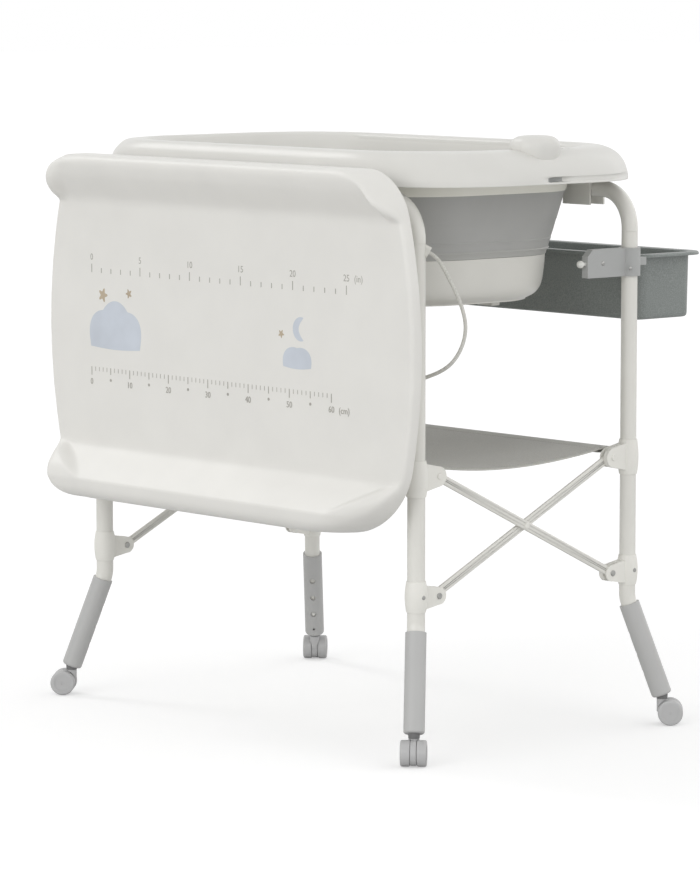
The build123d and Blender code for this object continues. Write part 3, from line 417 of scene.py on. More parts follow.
ink_tan = plastic("ink_tan", colour(0.74, 0.68, 0.59), 0.5, mottle=0.2)
thread_material = plastic("thread", colour(0.70, 0.695, 0.67), 0.8, 2600.0, 0.0002)


# Free cord: the stay cord from the front right upright to the board's back
cord_diameter = 6 * mm
cord_heading = (0.66, 0.75)
upright_x, upright_y = 388.5, -267.5
cord_beside = ((19, 783), (30, 777), (41, 760), (56, 731), (70, 700), (77, 666), (68, 631), (46, 603))
# Route points behind the upright, down to the board's back
cord_behind = (
    (366, -248, 583), (349, -280, 567), (346, -303, 561), (342, -319, 575),
    (339.5, -324.5, 600), (339.5, -324.5, 622),
)


def cord_route():
    """Control points of the cord in metres, from its anchor to the board."""
    way_x, way_y = cord_heading
    beside = [(upright_x + way_x * out, upright_y + way_y * out, height) for out, height in cord_beside]
    return [Vector(point) * mm for point in beside + list(cord_behind)]


def spline_line(points):
    """Points read from the smooth spline that control points give."""
    curve = bpy.data.curves.new("route", "CURVE")
    curve.dimensions = "3D"
    curve.resolution_u = 10
    spline = curve.splines.new("NURBS")
    spline.points.add(len(points) - 1)
    for control, point in zip(spline.points, points):
        control.co = (*point, 1.0)
    spline.order_u = 3
    spline.use_endpoint_u = True
    route = link("route", curve)
    line = bpy.data.meshes.new_from_object(route)
    path = [vertex.co.copy() for vertex in line.vertices]
    bpy.data.objects.remove(route)
    return path


def make_cord():
    """Stay cord with the ridges of its twist, along its route to the board."""
    route = cord_route()
    path = spline_line(route)
    mesh = tube_mesh("stay_cord_visual", path, cord_diameter / 2, 16)
    cord = link("stay_cord_visual", mesh, materials["cord"])
    soften(mesh, 50)
    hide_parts("stay_cord")
    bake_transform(cord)


# Bathtub, in millimetres about its own centre line
tub_centre = (0.0, -38.0)
skirt = (446, 268, 186, 882)
crest = (398, 239, 158, 935)
mouth = (372, 214, 138, 935)
ring_foot = (345, 205, 130, 862)
ring_head = (349, 209, 134, 880)
throat = (346, 206, 131, 880)
wall_head = (343, 203, 128, 862)
waist = (322, 182, 120, 772)
base_head = (318, 178, 118, 760)
base_foot = (266, 136, 98, 684)
skirt_shares = ((0, 1), (0.22, 0.97), (0.5, 0.85), (0.75, 0.64), (0.91, 0.38))
base_shares = ((0, 0.1), (0.07, 0.48), (0.2, 0.76), (0.45, 0.92), (1, 1))
shell = 3.0


def mixed(low, high, share, height):
    """Outline sizes between two outlines, at a height."""
    return tuple(low[i] + (high[i] - low[i]) * share for i in range(3)) + (height,)


def grown(sizes, out=0.0, up=0.0):
    """Outline sizes moved out and up."""
    return (sizes[0] + out, sizes[1] + out, sizes[2] + out, sizes[3] + up)


def tub_rings(profile):
    """Rings of points for a list of outline sizes."""
    return [rounded_ring(*sizes, centre=tub_centre) for sizes in profile]


def tub_piece(name, profile, material, body, node):
    """Closed lofted piece of the tub that stands for its node."""
    add_piece(loft(name, tub_rings(profile), closed=True), material, 40, body, node)


lip_low, lip_high = 884.0, 895.0
lip_depth = 2.6
notch_y, notch_half, notch_depth = -30.0, 19.0, 13.0
# Where the grip and the rim's longer ends start and are full, along X
grip_from, grip_full = 400, 425
shift_from, shift_full = 352, 385
rim_shift = 9.0
rim_slots = ((407.0, 19.0), (407.0, 33.0))
rim_slot_z, rim_slot_half = 936, (5.5, 1.7, 5)


def press_grip(rings):
    """Groove over the lip at the right end, deepest at its front notch."""
    for ring in rings:
        for point in ring:
            x, y, z = point / mm
            band = ease(lip_low, lip_low + 2, z) * (1 - ease(lip_high - 4, lip_high - 1, z))
            reached = ease(grip_from, grip_full, x)
            end = reached * ease(notch_y - notch_half, notch_y - 6, y)
            notch = reached * math.exp(-((y - notch_y) / notch_half) ** 4)
            point.x -= band * (lip_depth * end + (notch_depth - lip_depth) * notch) * mm


def make_rim():
    """White rim: curved skirt, rounded crest, sloping mouth and hollow below."""
    outer = [mixed(crest, skirt, out, skirt[3] + (crest[3] - skirt[3]) * up) for up, out in skirt_shares]
    outer = [grown(outer[0], -0.8)] + [grown(outer[0], 0, 1.2)] + outer[1:]
    top = [mixed(crest, skirt, 0.16, 933.8), mixed(mouth, crest, 0.72, 935), mixed(mouth, crest, 0.3, 934.6),
           mixed(mouth, crest, 0.04, 931.8), grown(mouth, -2.2, -9)]
    inside = [mixed(throat, mouth, 0.45, 905), grown(throat, -shell, 1.0)]
    outside_line = smooth_line(outer + top + inside, 6)
    hollow = [throat, mixed(throat, mouth, 0.92, 930), mixed(crest, skirt, 0.0, 931.8),
              grown(mixed(crest, skirt, 0.6, 921.0), -shell), grown(mixed(crest, skirt, 0.93, 896.0), -shell),
              grown(skirt, -shell)]
    hollow_line = smooth_line(hollow, 4)
    rings = tub_rings(outside_line + hollow_line)
    press_grip(rings)
    for ring in rings:
        for point in ring:
            point.x += rim_shift * mm * ease(shift_from, shift_full, abs(point.x) / mm)
    rim = link("rim_shell", loft("rim_shell", rings, closed=True), materials["white_gloss"])
    cut(rim, [block("slot", (x, y, rim_slot_z), rim_slot_half, 1.0, 2) for x, y in rim_slots])
    # Painted shade: faces deep in the grip notch take the darker clamp plastic, standing in for the shadow
    # inside the recess
    rim.data.materials.append(materials["grey_clamp"])
    for face in rim.data.polygons:
        x, y, z = face.center / mm
        if x > grip_full and abs(y - notch_y) < 0.85 * notch_half and lip_low + 1.2 < z < lip_high - 2.6:
            face.material_index = 1
    soften(rim.data, 48)
    return settle(rim, "tub", "tub_rim")


def make_tub_rings():
    """Beige ring under the rim and the grey ring over the base."""
    wall = 6
    upper = [
        grown(ring_foot, -1.0), grown(ring_foot, 0, 1.2), grown(ring_head, 0, -1.2), grown(ring_head, -1.0),
        grown(ring_head, -wall + 1), grown(ring_head, -wall, -1), grown(ring_foot, -wall, 1),
        grown(ring_foot, -wall + 1),
    ]
    tub_piece("upper_ring", upper, materials["tub_ring_beige"], "tub", "tub_ring")
    wall = 3.5
    lower = [
        grown(base_head, -0.6), grown(base_head, 1.2, 1.0), mixed(base_head, waist, 0.5, 766),
        grown(waist, 1.2, -2.0), grown(waist, 0.6), grown(waist, -wall), grown(base_head, -wall),
    ]
    tub_piece("lower_ring", lower, lower_ring_plastic, "tub_floor", "tub_lower_ring")


def make_wall():
    """Soft collapsible wall with its fold lines."""
    thickness = 3.2
    folds = ((0, 0), (0.045, 0.03), (0.06, 0.055), (0.09, 0.075), (0.11, 0.10), (0.3, 0.30), (0.47, 0.465),
             (0.495, 0.505), (0.53, 0.54), (0.75, 0.76), (1, 1))
    bead = ((0.14, 0.7), (0.155, 0.9), (0.17, 0.0))
    low_end, rise = waist[3], wall_head[3] - waist[3]
    outer = [mixed(waist, wall_head, out, low_end + rise * up) for up, out in folds]
    outer += [grown(mixed(waist, wall_head, up - 0.01, low_end + rise * up), proud) for up, proud in bead]
    outer.sort(key=lambda sizes: sizes[3])
    dense = []
    for low, high in zip(outer, outer[1:]):
        climb = high[3] - low[3]
        spans = max(1, round(climb / 4))
        dense += [mixed(low, high, step / spans, low[3] + climb * step / spans) for step in range(spans)]
    dense.append(outer[-1])
    inner = [grown(sizes, -thickness) for sizes in reversed(dense)]
    mesh = loft("soft_tub_wall", tub_rings(dense + inner), closed=True)
    wall = link("soft_tub_wall", mesh, materials["tub_elastomer"])
    soften(mesh, 30)
    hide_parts("tub_wall")
    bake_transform(wall)


plug_x = -159.6
plug_hole = 18.2
drain_rings = ((688, 28), (688, plug_hole), (684, plug_hole), (684, 28))
foot_places = ((-207, -90), (207, -90), (-207, 90), (207, 90))
foot_z, foot_half, foot_edge = 680.2, (19, 9.5, 5.2), 2.8


def circle_ring(height, radius):
    """Ring round the drain with as many points as an outline has."""
    return [
        Vector((*on_circle(plug_x, tub_centre[1], radius, angle), height)) * mm
        for angle in [
            math.atan2(point.y / mm - tub_centre[1], point.x / mm - plug_x)
            for point in rounded_ring(*base_foot, centre=tub_centre)
        ]
    ]


def make_base():
    """White base: rounded bowl with its floor, drain hole, rim bead and feet."""
    foot, rise = base_foot[3], base_head[3] - base_foot[3]
    outer = [mixed(base_foot, base_head, out, foot + rise * up) for up, out in base_shares]
    outer = [grown(outer[0], -14), grown(outer[0], -4, 0.8)] + [grown(outer[1], -3, -2.5)] + outer[1:]
    outer_line = smooth_line(outer, 5)
    inner_line = [grown(sizes, -3.5, 4.0 * (1 - (sizes[3] - foot) / rise)) for sizes in reversed(outer_line)]
    rings = tub_rings(outer_line + inner_line)
    rings += [circle_ring(height, radius) for height, radius in drain_rings]
    bowl = loft("base_bowl", rings, closed=True)
    feet = [block("foot", (x, tub_centre[1] + y, foot_z), foot_half, foot_edge) for x, y in foot_places]
    mesh = merged("tub_base_bowl", [bowl] + feet)
    add_piece(mesh, base_plastic, 40, "tub_floor", "tub_base")


rest_centre = (409.0, -38.0)
rest_outlines = (
    (30, 36, 28, 917), (32, 38, 29, 926), (33, 39, 29, 934), (33, 39, 28, 941), (31.5, 37, 27, 947),
    (27.5, 32.5, 24, 952), (21.5, 26, 19, 955.2), (13, 16.5, 12, 956.6), (5, 8, 4.5, 957),
)


def make_rest(rim):
    """Head rest that sits on the crest, its foot following the rim."""
    solid = bmesh.new()
    solid.from_mesh(rim.data)
    tree = BVHTree.FromBMesh(solid)
    solid.free()
    rings = []
    for sizes in smooth_line(rest_outlines, 3):
        ring = rounded_ring(*sizes, centre=rest_centre)
        for point in ring:
            hit = tree.ray_cast(Vector((point.x, point.y, 1.2)), Vector((0, 0, -1)))[0]
            if hit and hit.z > 0.87:
                point.z = max(point.z, hit.z - 0.0012)
        rings.append(ring)
    mesh = loft("head_rest", rings)
    add_piece(mesh, materials["white_gloss"], 50, "tub", "rim_rest")


# Changing board: a plate with a full roll along its top and its bottom
board_top, board_bottom = 912.0, 350.0
board_half_height, board_middle_z = (board_top - board_bottom) / 2, (board_top + board_bottom) / 2
board_middle_x, board_half_width, board_bulge = 13.0, 400.0, 50.0
# Corner radii and roll ends, by end (top is 1) and side
board_corners = {(1, 1): 68.0, (1, -1): 34.0, (-1, 1): 104.0, (-1, -1): 36.0}
board_back_y, board_face_y, board_rim_y = -329.5, -343.5, -322.0
back_edge = 3.5
# Rise over the plate against the distance from the board's end, for each roll's
# middle and for its cheeks
top_roll = (
    ((0, 41), (9, 43.6), (17, 43), (32, 36), (48, 23.5), (62, 11), (72, 3.4), (80, 0.4), (88, 0), (300, 0)),
    ((0, 33), (15, 42), (32, 44), (46, 40.5), (57, 32), (66, 21.5), (73, 9), (79, 0.5), (86, 0), (300, 0)),
)
bottom_roll = (
    ((0, 50), (16, 53.5), (30, 55), (34, 54.6), (37.5, 51.8), (76, 8.2), (81, 3.0), (87, 0), (300, 0)),
    ((0, 48), (26, 54), (36, 54.5), (51, 48), (62, 37), (70, 27), (79, 12), (86, 1.8), (91, 0), (300, 0)),
)
# Where a middle ends: half width at the crest and at the foot, over these distances
top_ends, bottom_ends = ((10, 366), (72, 398)), ((35, 306), (84, 404))
top_round, bottom_round, end_round = 9.0, 22.0, 18.0
end_round_from, end_round_full = 300, 395
board_ends = ((bottom_roll, bottom_ends, bottom_round), (top_roll, top_ends, top_round))
plate_round = 7.0
end_depths = {(1, 1): 20.0, (1, -1): 14.0, (-1, 1): 84.0, (-1, -1): 30.0}
corner_rows = 22


def table_at(table, place):
    """Smooth value of a table of places and values."""
    last = len(table) - 1
    index = max(i for i in range(last) if table[i][0] <= place or i == 0)
    (x0, y0), (x1, y1) = table[index], table[index + 1]
    before, after = table[max(index - 1, 0)], table[min(index + 2, last)]
    slope0 = (y1 - before[1]) / (x1 - before[0])
    slope1 = (after[1] - y0) / (after[0] - x0)
    width = x1 - x0
    t = clamp01((place - x0) / width)
    return ((2 * t**3 - 3 * t**2 + 1) * y0 + (t**3 - 2 * t**2 + t) * width * slope0
            + (3 * t**2 - 2 * t**3) * y1 + (t**3 - t**2) * width * slope1)


def board_quarter(x, up):
    """Key of the board's quarter that a place lies in."""
    return (1 if up > 0 else -1, 1 if x > 0 else -1)


def board_width(up):
    """Half width of the board at a height over its middle, without corners."""
    return board_half_width + board_bulge * (1 - (up / board_half_height) ** 2)


def board_reach(up, side):
    """Half width to one side at a height over the middle, with its corners."""
    corner = board_corners[board_quarter(side, up)]
    into = abs(up) - (board_half_height - corner)
    if into <= 0:
        return board_width(up)
    return board_width(up) - corner + math.sqrt(max(corner**2 - into**2, 0.0))


def board_edge(x, up):
    """Distance of a place from the board's edge, and the edge's outward way."""
    corner = board_corners[board_quarter(x, up)]
    across = abs(x) - (board_width(up) - corner)
    into = abs(up) - (board_half_height - corner)
    if across > 0 and into > 0:
        far = math.hypot(across, into)
        way = (math.copysign(across / far, x), math.copysign(into / far, up))
        return corner - far, way
    from_side, from_end = board_width(up) - abs(x), board_half_height - abs(up)
    if from_side < from_end:
        return from_side, (math.copysign(1.0, x), 0.0)
    return from_end, (0.0, math.copysign(1.0, up))


def board_front(x, up):
    """Y of the board's front at one place, in millimetres."""
    from_end = board_half_height - abs(up)
    tables, ends, turn = board_ends[up > 0]
    (near, near_x), (far, far_x) = ends
    line = near_x + (far_x - near_x) * clamp01((from_end - near) / (far - near))
    cheek = ease(line - 8, line + 12, abs(x))
    rise = table_at(tables[0], from_end) * (1 - cheek) + table_at(tables[1], from_end) * cheek
    turn += (end_round - turn) * ease(end_round_from, end_round_full, abs(x)) * (1 if up > 0 else 0.5)
    quarter = board_quarter(x, up)
    from_side = clamp01((board_reach(up, quarter[1]) - abs(x)) / end_depths[quarter])
    rise *= math.sqrt(1 - (1 - from_side) ** 2)
    distance, way = board_edge(x, up)
    radius = plate_round * way[0] ** 2 + turn * way[1] ** 2
    share = clamp01(1 - distance / radius)
    full = board_back_y - board_face_y + rise
    drop = min(full - back_edge, radius * 1.1) * (1 - math.sqrt(1 - share * share))
    return board_back_y - full + drop


def board_rows():
    """Heights over the middle for the rows of the front, close at its ends."""
    corner = board_corners[(1, 1)]
    ends = [corner * (1 - math.sin(math.pi / 2 * (1 - row / corner_rows))) for row in range(corner_rows)]
    ends += [5.5, 9, 12, 30, 33, 36, 38.5, corner, 71, 74, 77, 80, 83, 86, 90, 94, 104, 130, 180, 235]
    rows = [board_half_height - end for end in sorted(ends)]
    return rows + [0.0] + [-row for row in reversed(rows)]


def board_columns():
    """Shares of the half width for the columns of the front, close at its sides."""
    sides = [0, 0.25, 0.8, 1.7, 3, 4.6, 6.5, 8.8, 11.5, 14.5, 18, 22, 27, 32, 37]
    sides += [42 + 5 * step for step in range(18)] + [140, 165, 200, 250, 310, 380]
    shares = [1 - side / (board_half_width + board_bulge) for side in sides]
    return [-share for share in shares] + [0.0] + list(reversed(shares))


def make_board():
    """White board with two rolls, a rim round its back and three back grooves."""
    rows, columns = board_rows(), board_columns()
    count = len(columns)
    flat_points = [(board_reach(up, 1 if share > 0 else -1) * share, up) for up in rows for share in columns]
    points = [(board_middle_x + x, board_front(x, up), board_middle_z + up) for x, up in flat_points]
    faces = [
        (r * count + c, r * count + c + 1, (r + 1) * count + c + 1, (r + 1) * count + c)
        for r in range(len(rows) - 1) for c in range(count - 1)
    ]
    last = (len(rows) - 1) * count
    between = range(1, len(rows) - 1)
    loop = list(range(count)) + [r * count + count - 1 for r in between]
    loop += [last + c for c in reversed(range(count))] + [r * count for r in reversed(between)]
    previous = loop
    for inset, y in ((0, -326.0), (0.6, -323.6), (1.9, -322.4), (4, board_rim_y), (10, board_rim_y),
                     (11.2, -322.5), (12, -324), (12.6, -327.6), (13.5, -329.2), (15, board_back_y)):
        start = len(points)
        for index in loop:
            x, up = flat_points[index]
            way = board_edge(x * 0.99999, up)[1]
            points.append((board_middle_x + x - way[0] * inset, y, board_middle_z + up - way[1] * inset))
        ring = list(range(start, len(points)))
        faces += zip(previous, previous[1:] + previous[:1], ring[1:] + ring[:1], ring)
        previous = ring
    faces.append(tuple(previous))
    mesh = make_mesh("changing_board", [Vector(point) * mm for point in points], faces)
    board = link("changing_board", mesh, materials["board_shell"])
    cut(board, [back_groove(place) for place in groove_places])
    soften(board.data, 40)
    settle(board, "board", "board")


groove_places = (-229, 0, 229)
groove_half_height, groove_half_width, groove_rise = 154.5, 13.0, 5.0


def back_groove(x_middle):
    """Drafted round-ended groove for the board's back."""
    rings = []
    for y, draw in ((board_back_y + 4, 2.0), (board_back_y, 1.0), (board_back_y - groove_rise + 1.5, -1.0),
                    (board_back_y - groove_rise, -3.0)):
        half = groove_half_width + draw
        ring = []
        for turn in range(40):
            angle = 2 * math.pi * turn / 40
            lift = math.copysign(groove_half_height - groove_half_width, math.sin(angle + 1e-9))
            x, z = on_circle(x_middle, board_middle_z + lift, half, angle)
            ring.append(Vector((x, y, z)) * mm)
        rings.append(ring)
    return loft("groove", rings)


# Prints on the board: two plain rulers and a generic night sky
print_height = 0.12
print_y = board_face_y - print_height


def flat_print(name, outlines):
    """Thin prints out of closed outlines given as (x, z) in millimetres."""
    meshes = []
    for outline in outlines:
        rings = [[Vector((x, y, z)) * mm for x, z in outline] for y in (board_face_y + 0.3, print_y)]
        meshes.append(loft("print", rings))
    return merged(name, meshes)


def bar(x, z_low, z_high, width):
    """Outline of one upright ruler mark."""
    left, right = x - width / 2, x + width / 2
    return [(left, z_low), (right, z_low), (right, z_high), (left, z_high)]


def disc(x, z, radius):
    """Outline of a round dot."""
    return [on_circle(x, z, radius, 2 * math.pi * turn / 20) for turn in range(20)]


def label(text, x, z, size):
    """Mesh of a short number centred at a place on the board's face."""
    curve = bpy.data.curves.new("label", "FONT")
    curve.body = text
    curve.size = size * mm
    curve.align_x = curve.align_y = "CENTER"
    curve.extrude = 0.2 * mm
    curve.resolution_u = 3
    holder = link("label", curve)
    holder.rotation_euler = (math.pi / 2, 0, 0)
    holder.location = Vector((x, print_y + 0.2, z)) * mm
    mesh = evaluated_mesh(holder)
    mesh.transform(holder.matrix_world)
    mesh.materials.clear()
    bpy.data.objects.remove(holder)
    return mesh


cm_zero, cm_line, cm_pitch, cm_count = -323.0, 563.0, 10, 60
inch_zero, inch_line, inch_pitch, inch_count = -321.4, 718.0, 25.35, 25
number_gap, cm_number, inch_number = 25, 14, 15
# Lengths and widths of the marks, and the dots at every odd fifth centimetre
cm_long, cm_middle, cm_short, cm_bold, cm_thin = 14, 11, 7, 1.5, 0.9
inch_long, inch_short, inch_bold = 14, 8, 1.8
dot_drop, dot_radius = 20, 2.4


def make_rulers():
    """Centimetre ruler below and inch ruler above, with plain numbers."""
    outlines, labels = [], []
    for mark in range(cm_count + 1):
        x = cm_zero + cm_pitch * mark
        low = cm_line - (cm_long if mark % 10 == 0 else cm_middle if mark % 5 == 0 else cm_short)
        outlines.append(bar(x, low, cm_line, cm_bold if mark % 5 == 0 else cm_thin))
        if mark % 10 == 0:
            labels.append(label(str(mark), x, cm_line - number_gap, cm_number))
        elif mark % 5 == 0:
            outlines.append(disc(x, cm_line - dot_drop, dot_radius))
    labels.append(label("(cm)", cm_zero + cm_pitch * cm_count + 30, cm_line - number_gap, cm_number))
    for mark in range(inch_count + 1):
        x = inch_zero + inch_pitch * mark
        high = inch_line + (inch_long if mark % 5 == 0 else inch_short)
        outlines.append(bar(x, inch_line, high, inch_bold))
        if mark % 5 == 0:
            labels.append(label(str(mark), x, inch_line + number_gap, inch_number))
    unit_x = inch_zero + inch_pitch * inch_count + 28
    labels.append(label("(in)", unit_x, inch_line + number_gap, inch_number))
    mesh = merged("ruler_marks", [flat_print("marks", outlines)] + labels)
    add_piece(mesh, ink_grey, None, "board")


def star(x, z, radius, tilt):
    """Outline of a soft star of five points."""
    outline = []
    for corner in range(40):
        angle = 2 * math.pi * corner / 40
        wave = 0.5 + 0.5 * math.cos(5 * angle)
        reach = radius * (0.52 + 0.48 * wave**1.4)
        outline.append((x + reach * math.sin(angle + tilt), z + reach * math.cos(angle + tilt)))
    return outline


def cloud(x, z, width, height, lobes):
    """Outline of a flat-bottomed cloud with round lobes."""
    outline = []
    for step in range(90):
        angle = math.pi * step / 89
        lobe = 1 + 0.13 * abs(math.sin(lobes * angle))
        outline.append((x + width / 2 * math.cos(angle) * lobe, z + height * math.sin(angle) ** 0.8 * lobe))
    for step in range(1, 12):
        share = step / 12
        outline.append((x - width / 2 + width * share, z - 3 * math.sin(math.pi * share)))
    return outline


def crescent(x, z, radius):
    """Outline of a moon in its first days."""
    outer = [on_circle(x, z, radius, math.radians(70 + 220 * step / 30)) for step in range(31)]
    start, end = outer[-1], outer[0]
    inner = []
    for step in range(1, 24):
        share = step / 24
        bend = math.sin(math.pi * share) * radius * 0.62
        x_in, z_in = (start[i] + (end[i] - start[i]) * share for i in (0, 1))
        inner.append((x_in - bend, z_in))
    return outer + inner


def make_motifs():
    """Generic cloud, moon and stars in the pale colours of nursery prints."""
    groups = (
        ("motif_cloud", ink_blue, [cloud(-260, 597, 128, 68, 3), cloud(196, 598, 66, 30, 2)]),
        ("motif_stars", ink_tan, [star(-292, 682, 12, 0.3), star(-224, 688, 8, 0.9), star(158, 648, 7, 0.5)]),
        ("motif_moon", ink_blue, [crescent(205, 658, 19)]),
    )
    for name, ink, outlines in groups:
        add_piece(flat_print(name, outlines), ink, None, "board")


# Tray: a drafted open box with an out-turned flange
tray_half = (363.0, 64.5)
tray_centre = (6.0, 294.5)
tray_top, tray_floor = 757.0, 650.0
tray_draft, tray_corner, tray_wall, tray_flange = 1.8, 22.0, 2.5, 17.0
tongue_x, tongue_y, tongue_slot_half = 348.5, 220.5, (9.8, 2.3, 9)


def tray_sizes(out, height):
    """Outline sizes of the tray, moved out from its mouth."""
    return (tray_half[0] + out, tray_half[1] + out, max(tray_corner + out, 3.0), height)


def make_tray():
    """Smoky tray with a rolled flange edge and slots for the clamp tongues."""
    low, high, draft, inner = tray_floor, tray_top, tray_draft, -tray_wall - tray_draft
    section = (
        (-draft - 7, low), (-draft - 3.0, low + 0.8), (-draft - 0.7, low + 3.2), (-draft, low + 7.5),
        (-draft * 0.5, low + 55), (0, high - 6), (1.2, high - 3.4), (3.6, high - 2.5), (10, high - 2.5),
        (tray_flange - 2, high - 3.6), (tray_flange - 0.3, high - 5.2), (tray_flange, high - 4.8),
        (tray_flange, high - 2), (tray_flange - 1.2, high - 0.3), (tray_flange - 3, high), (1.5, high),
        (-1.2, high - 0.7), (-tray_wall, high - 3), (-tray_wall - draft * 0.5, low + 55),
        (inner, low + 11), (inner - 2, low + 5), (inner - 6, low + tray_wall),
    )
    rings = [rounded_ring(*tray_sizes(*place), centre=tray_centre) for place in section]
    mesh = loft("storage_tray", rings)
    tray = link("storage_tray", mesh, materials["tray_plastic"])
    places = [(side * tongue_x, tongue_y, tray_top - 2) for side in (-1, 1)]
    cut(tray, [block("slot", place, tongue_slot_half, 0.6) for place in places])
    soften(tray.data, 35)
    settle(tray, "tray", "tray")


# Fabric shelf: one cloth hung over the two rods, with sewn hems
rod_y_front, rod_y_rear = -245.0, 169.0
shelf_middle_y, shelf_depth = (rod_y_front + rod_y_rear) / 2, rod_y_rear - rod_y_front
rod_height = 446.0
hem_radius = 4.9
shelf_half_x = 368.5
shelf_sag = 13.0
hem_depth = 26.0
hem_lift, hem_slope = 2.2, 2.7
cloth_thickness = 1.0
end_hem = 13.0
stitch_pitch, rod_stitches, end_stitches = 6, 118, 64


def hang_height(share):
    """Height of the cloth over the share of the way from rod to rod."""
    return rod_height + hem_radius - shelf_sag * 4 * share * (1 - share)


def hung_point(x, y):
    """Place on the cloth at a height that follows from its hang."""
    return shelf_point(x, y, hang_height((y - rod_y_front) / shelf_depth))


def shelf_profile():
    """Section of the cloth from one hem's sewn edge to the other's."""
    profile = []
    for step in range(7):
        share = step / 6
        profile.append((rod_y_front + hem_depth * (1 - share), rod_height - hem_lift - hem_slope * share))
    for step in range(1, 9):
        profile.append(on_circle(rod_y_front, rod_height, hem_radius, -math.pi / 2 - math.pi * step / 8))
    spans = 36
    for step in range(1, spans):
        share = step / spans
        y = rod_y_front + shelf_depth * share
        profile.append((y, hang_height(share)))
    for step in range(9):
        profile.append(on_circle(rod_y_rear, rod_height, hem_radius, math.pi / 2 - math.pi * step / 8))
    for step in range(1, 7):
        share = step / 6
        profile.append((rod_y_rear - hem_depth * share, rod_height - hem_radius + hem_slope * share))
    return profile


def cloth_dip(x, y):
    """Soft tension folds of the hung cloth, in millimetres."""
    inside = clamp01(1 - ((y - shelf_middle_y) / 200) ** 2)
    ends = 1 + 1.6 * ease(240, 368, abs(x))
    folds = noise(Vector((x * 0.011, y * 0.0028, 2.3))) * 1.5
    return inside * (folds * ends - 3.0 * ease(300, 368, abs(x)))


def shelf_point(x, y, z):
    """Place on the cloth, with its folds and slightly scooped ends."""
    scoop = 2.0 * clamp01(1 - ((y - shelf_middle_y) / 205) ** 2)
    x_out = x - math.copysign(scoop * (abs(x) / shelf_half_x) ** 4, x)
    return Vector((x_out, y, z + cloth_dip(x, y))) * mm


def make_shelf():
    """Shelf cloth with stitched hems, riding on the rear collars."""
    profile = shelf_profile()
    columns = 96
    points = []
    for column in range(columns + 1):
        x = -shelf_half_x + 2 * shelf_half_x * column / columns
        points += [shelf_point(x, y, z) for y, z in profile]
    rows = len(profile)
    faces = [
        (c * rows + r, (c + 1) * rows + r, (c + 1) * rows + r + 1, c * rows + r + 1)
        for c in range(columns) for r in range(rows - 1)
    ]
    mesh = bpy.data.meshes.new("shelf_sling")
    mesh.from_pydata(points, [], faces)
    cloth = link("shelf_sling", mesh, materials["shelf_cloth"])
    solid = cloth.modifiers.new("cloth", "SOLIDIFY")
    solid.thickness = cloth_thickness * mm
    solid.offset = 0
    cloth.data = evaluated_mesh(cloth)
    cloth.modifiers.clear()
    soften(cloth.data, 60)
    extras = [make_end_hems(), make_stitches()]
    settle(cloth, "rear_collars", "fabric_shelf")
    for piece in [cloth] + extras:
        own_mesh(piece)


# Whether a point is at the cloth's edge, its move out and its height
hem_section = (
    (False, 0, 0.4), (False, 0, 1.3), (True, 0, 1.5), (True, 0.5, 0.6),
    (True, 0.5, -0.6), (True, 0, -1.3), (False, 0, -1.2), (False, 0, -0.4),
)


def make_end_hems():
    """Turned and sewn band along each end of the cloth."""
    meshes = []
    spans = 44
    for side in (-1, 1):
        rings = []
        for step in range(spans + 1):
            y = rod_y_front + 6 + (shelf_depth - 12) * step / spans
            edge = hung_point(side * shelf_half_x, y)
            inner = hung_point(side * (shelf_half_x - end_hem), y)
            rings.append([
                (edge if at_edge else inner) + Vector((side * out, 0, up)) * mm
                for at_edge, out, up in hem_section
            ])
        meshes.append(loft("end_hem", rings))
    mesh = merged("shelf_end_hems", meshes)
    return add_piece(mesh, materials["shelf_cloth"], 60, "rear_collars")


def make_stitches():
    """Rows of thread along the rod hems and the end hems."""
    meshes = []
    for y in (rod_y_front + hem_depth - 5, rod_y_rear - hem_depth + 5):
        for index in range(rod_stitches):
            place = hung_point(-shelf_half_x + 18 + stitch_pitch * index, y) / mm
            meshes.append(block("stitch", (place.x, place.y, place.z + 0.6), (1.9, 0.35, 0.3), 0.2, 1))
    for side in (-1, 1):
        for index in range(end_stitches):
            y = rod_y_front + 14 + stitch_pitch * index
            place = hung_point(side * (shelf_half_x - end_hem + 2.5), y) / mm
            meshes.append(block("stitch", (place.x, place.y, place.z + 1.4), (0.35, 1.9, 0.3), 0.2, 1))
    return add_piece(merged("shelf_stitches", meshes), thread_material, None, "rear_collars")


# Small screws that only show from a step away
def screw_head(centre, axis, radius, height):
    """Domed screw head with a cross recess, its back on the centre."""
    axis = Vector(axis).normalized()
    side = axis.orthogonal().normalized()
    other = axis.cross(side)
    rings = []
    for out, up in ((1, 0), (1, 0.35), (0.86, 0.75), (0.55, 0.97), (0.3, 1.0), (0.22, 0.6)):
        ring = []
        for turn in range(24):
            angle = 2 * math.pi * turn / 24
            star_share = 1 if out > 0.4 else 0.75 + 0.25 * math.cos(4 * angle)
            ring.append(Vector(centre) * mm + (
                side * math.cos(angle) + other * math.sin(angle)
            ) * radius * out * star_share * mm + axis * up * height * mm)
        rings.append(ring)
    return loft("screw", rings)


# Y, Z and radius of each screw, and how far out of the upright's middle its face lies
clamp_screws = ((126.0, 748.5, 3.6, 6.5), (176.0, 739.0, 3.0, 17.5))
screw_height, screw_sunk = 1.6, 0.2


def make_clamp_screws():
    """Dark screws in the outer faces of the clamp arms."""
    meshes = []
    for side in (-1, 1):
        for y, z, radius, face in clamp_screws:
            place = (side * (upright_x + face - screw_sunk), y, z)
            meshes.append(screw_head(place, (side, 0, 0), radius, screw_height))
    add_piece(merged("clamp_screws", meshes), dark_steel, 40, "rear_frame")


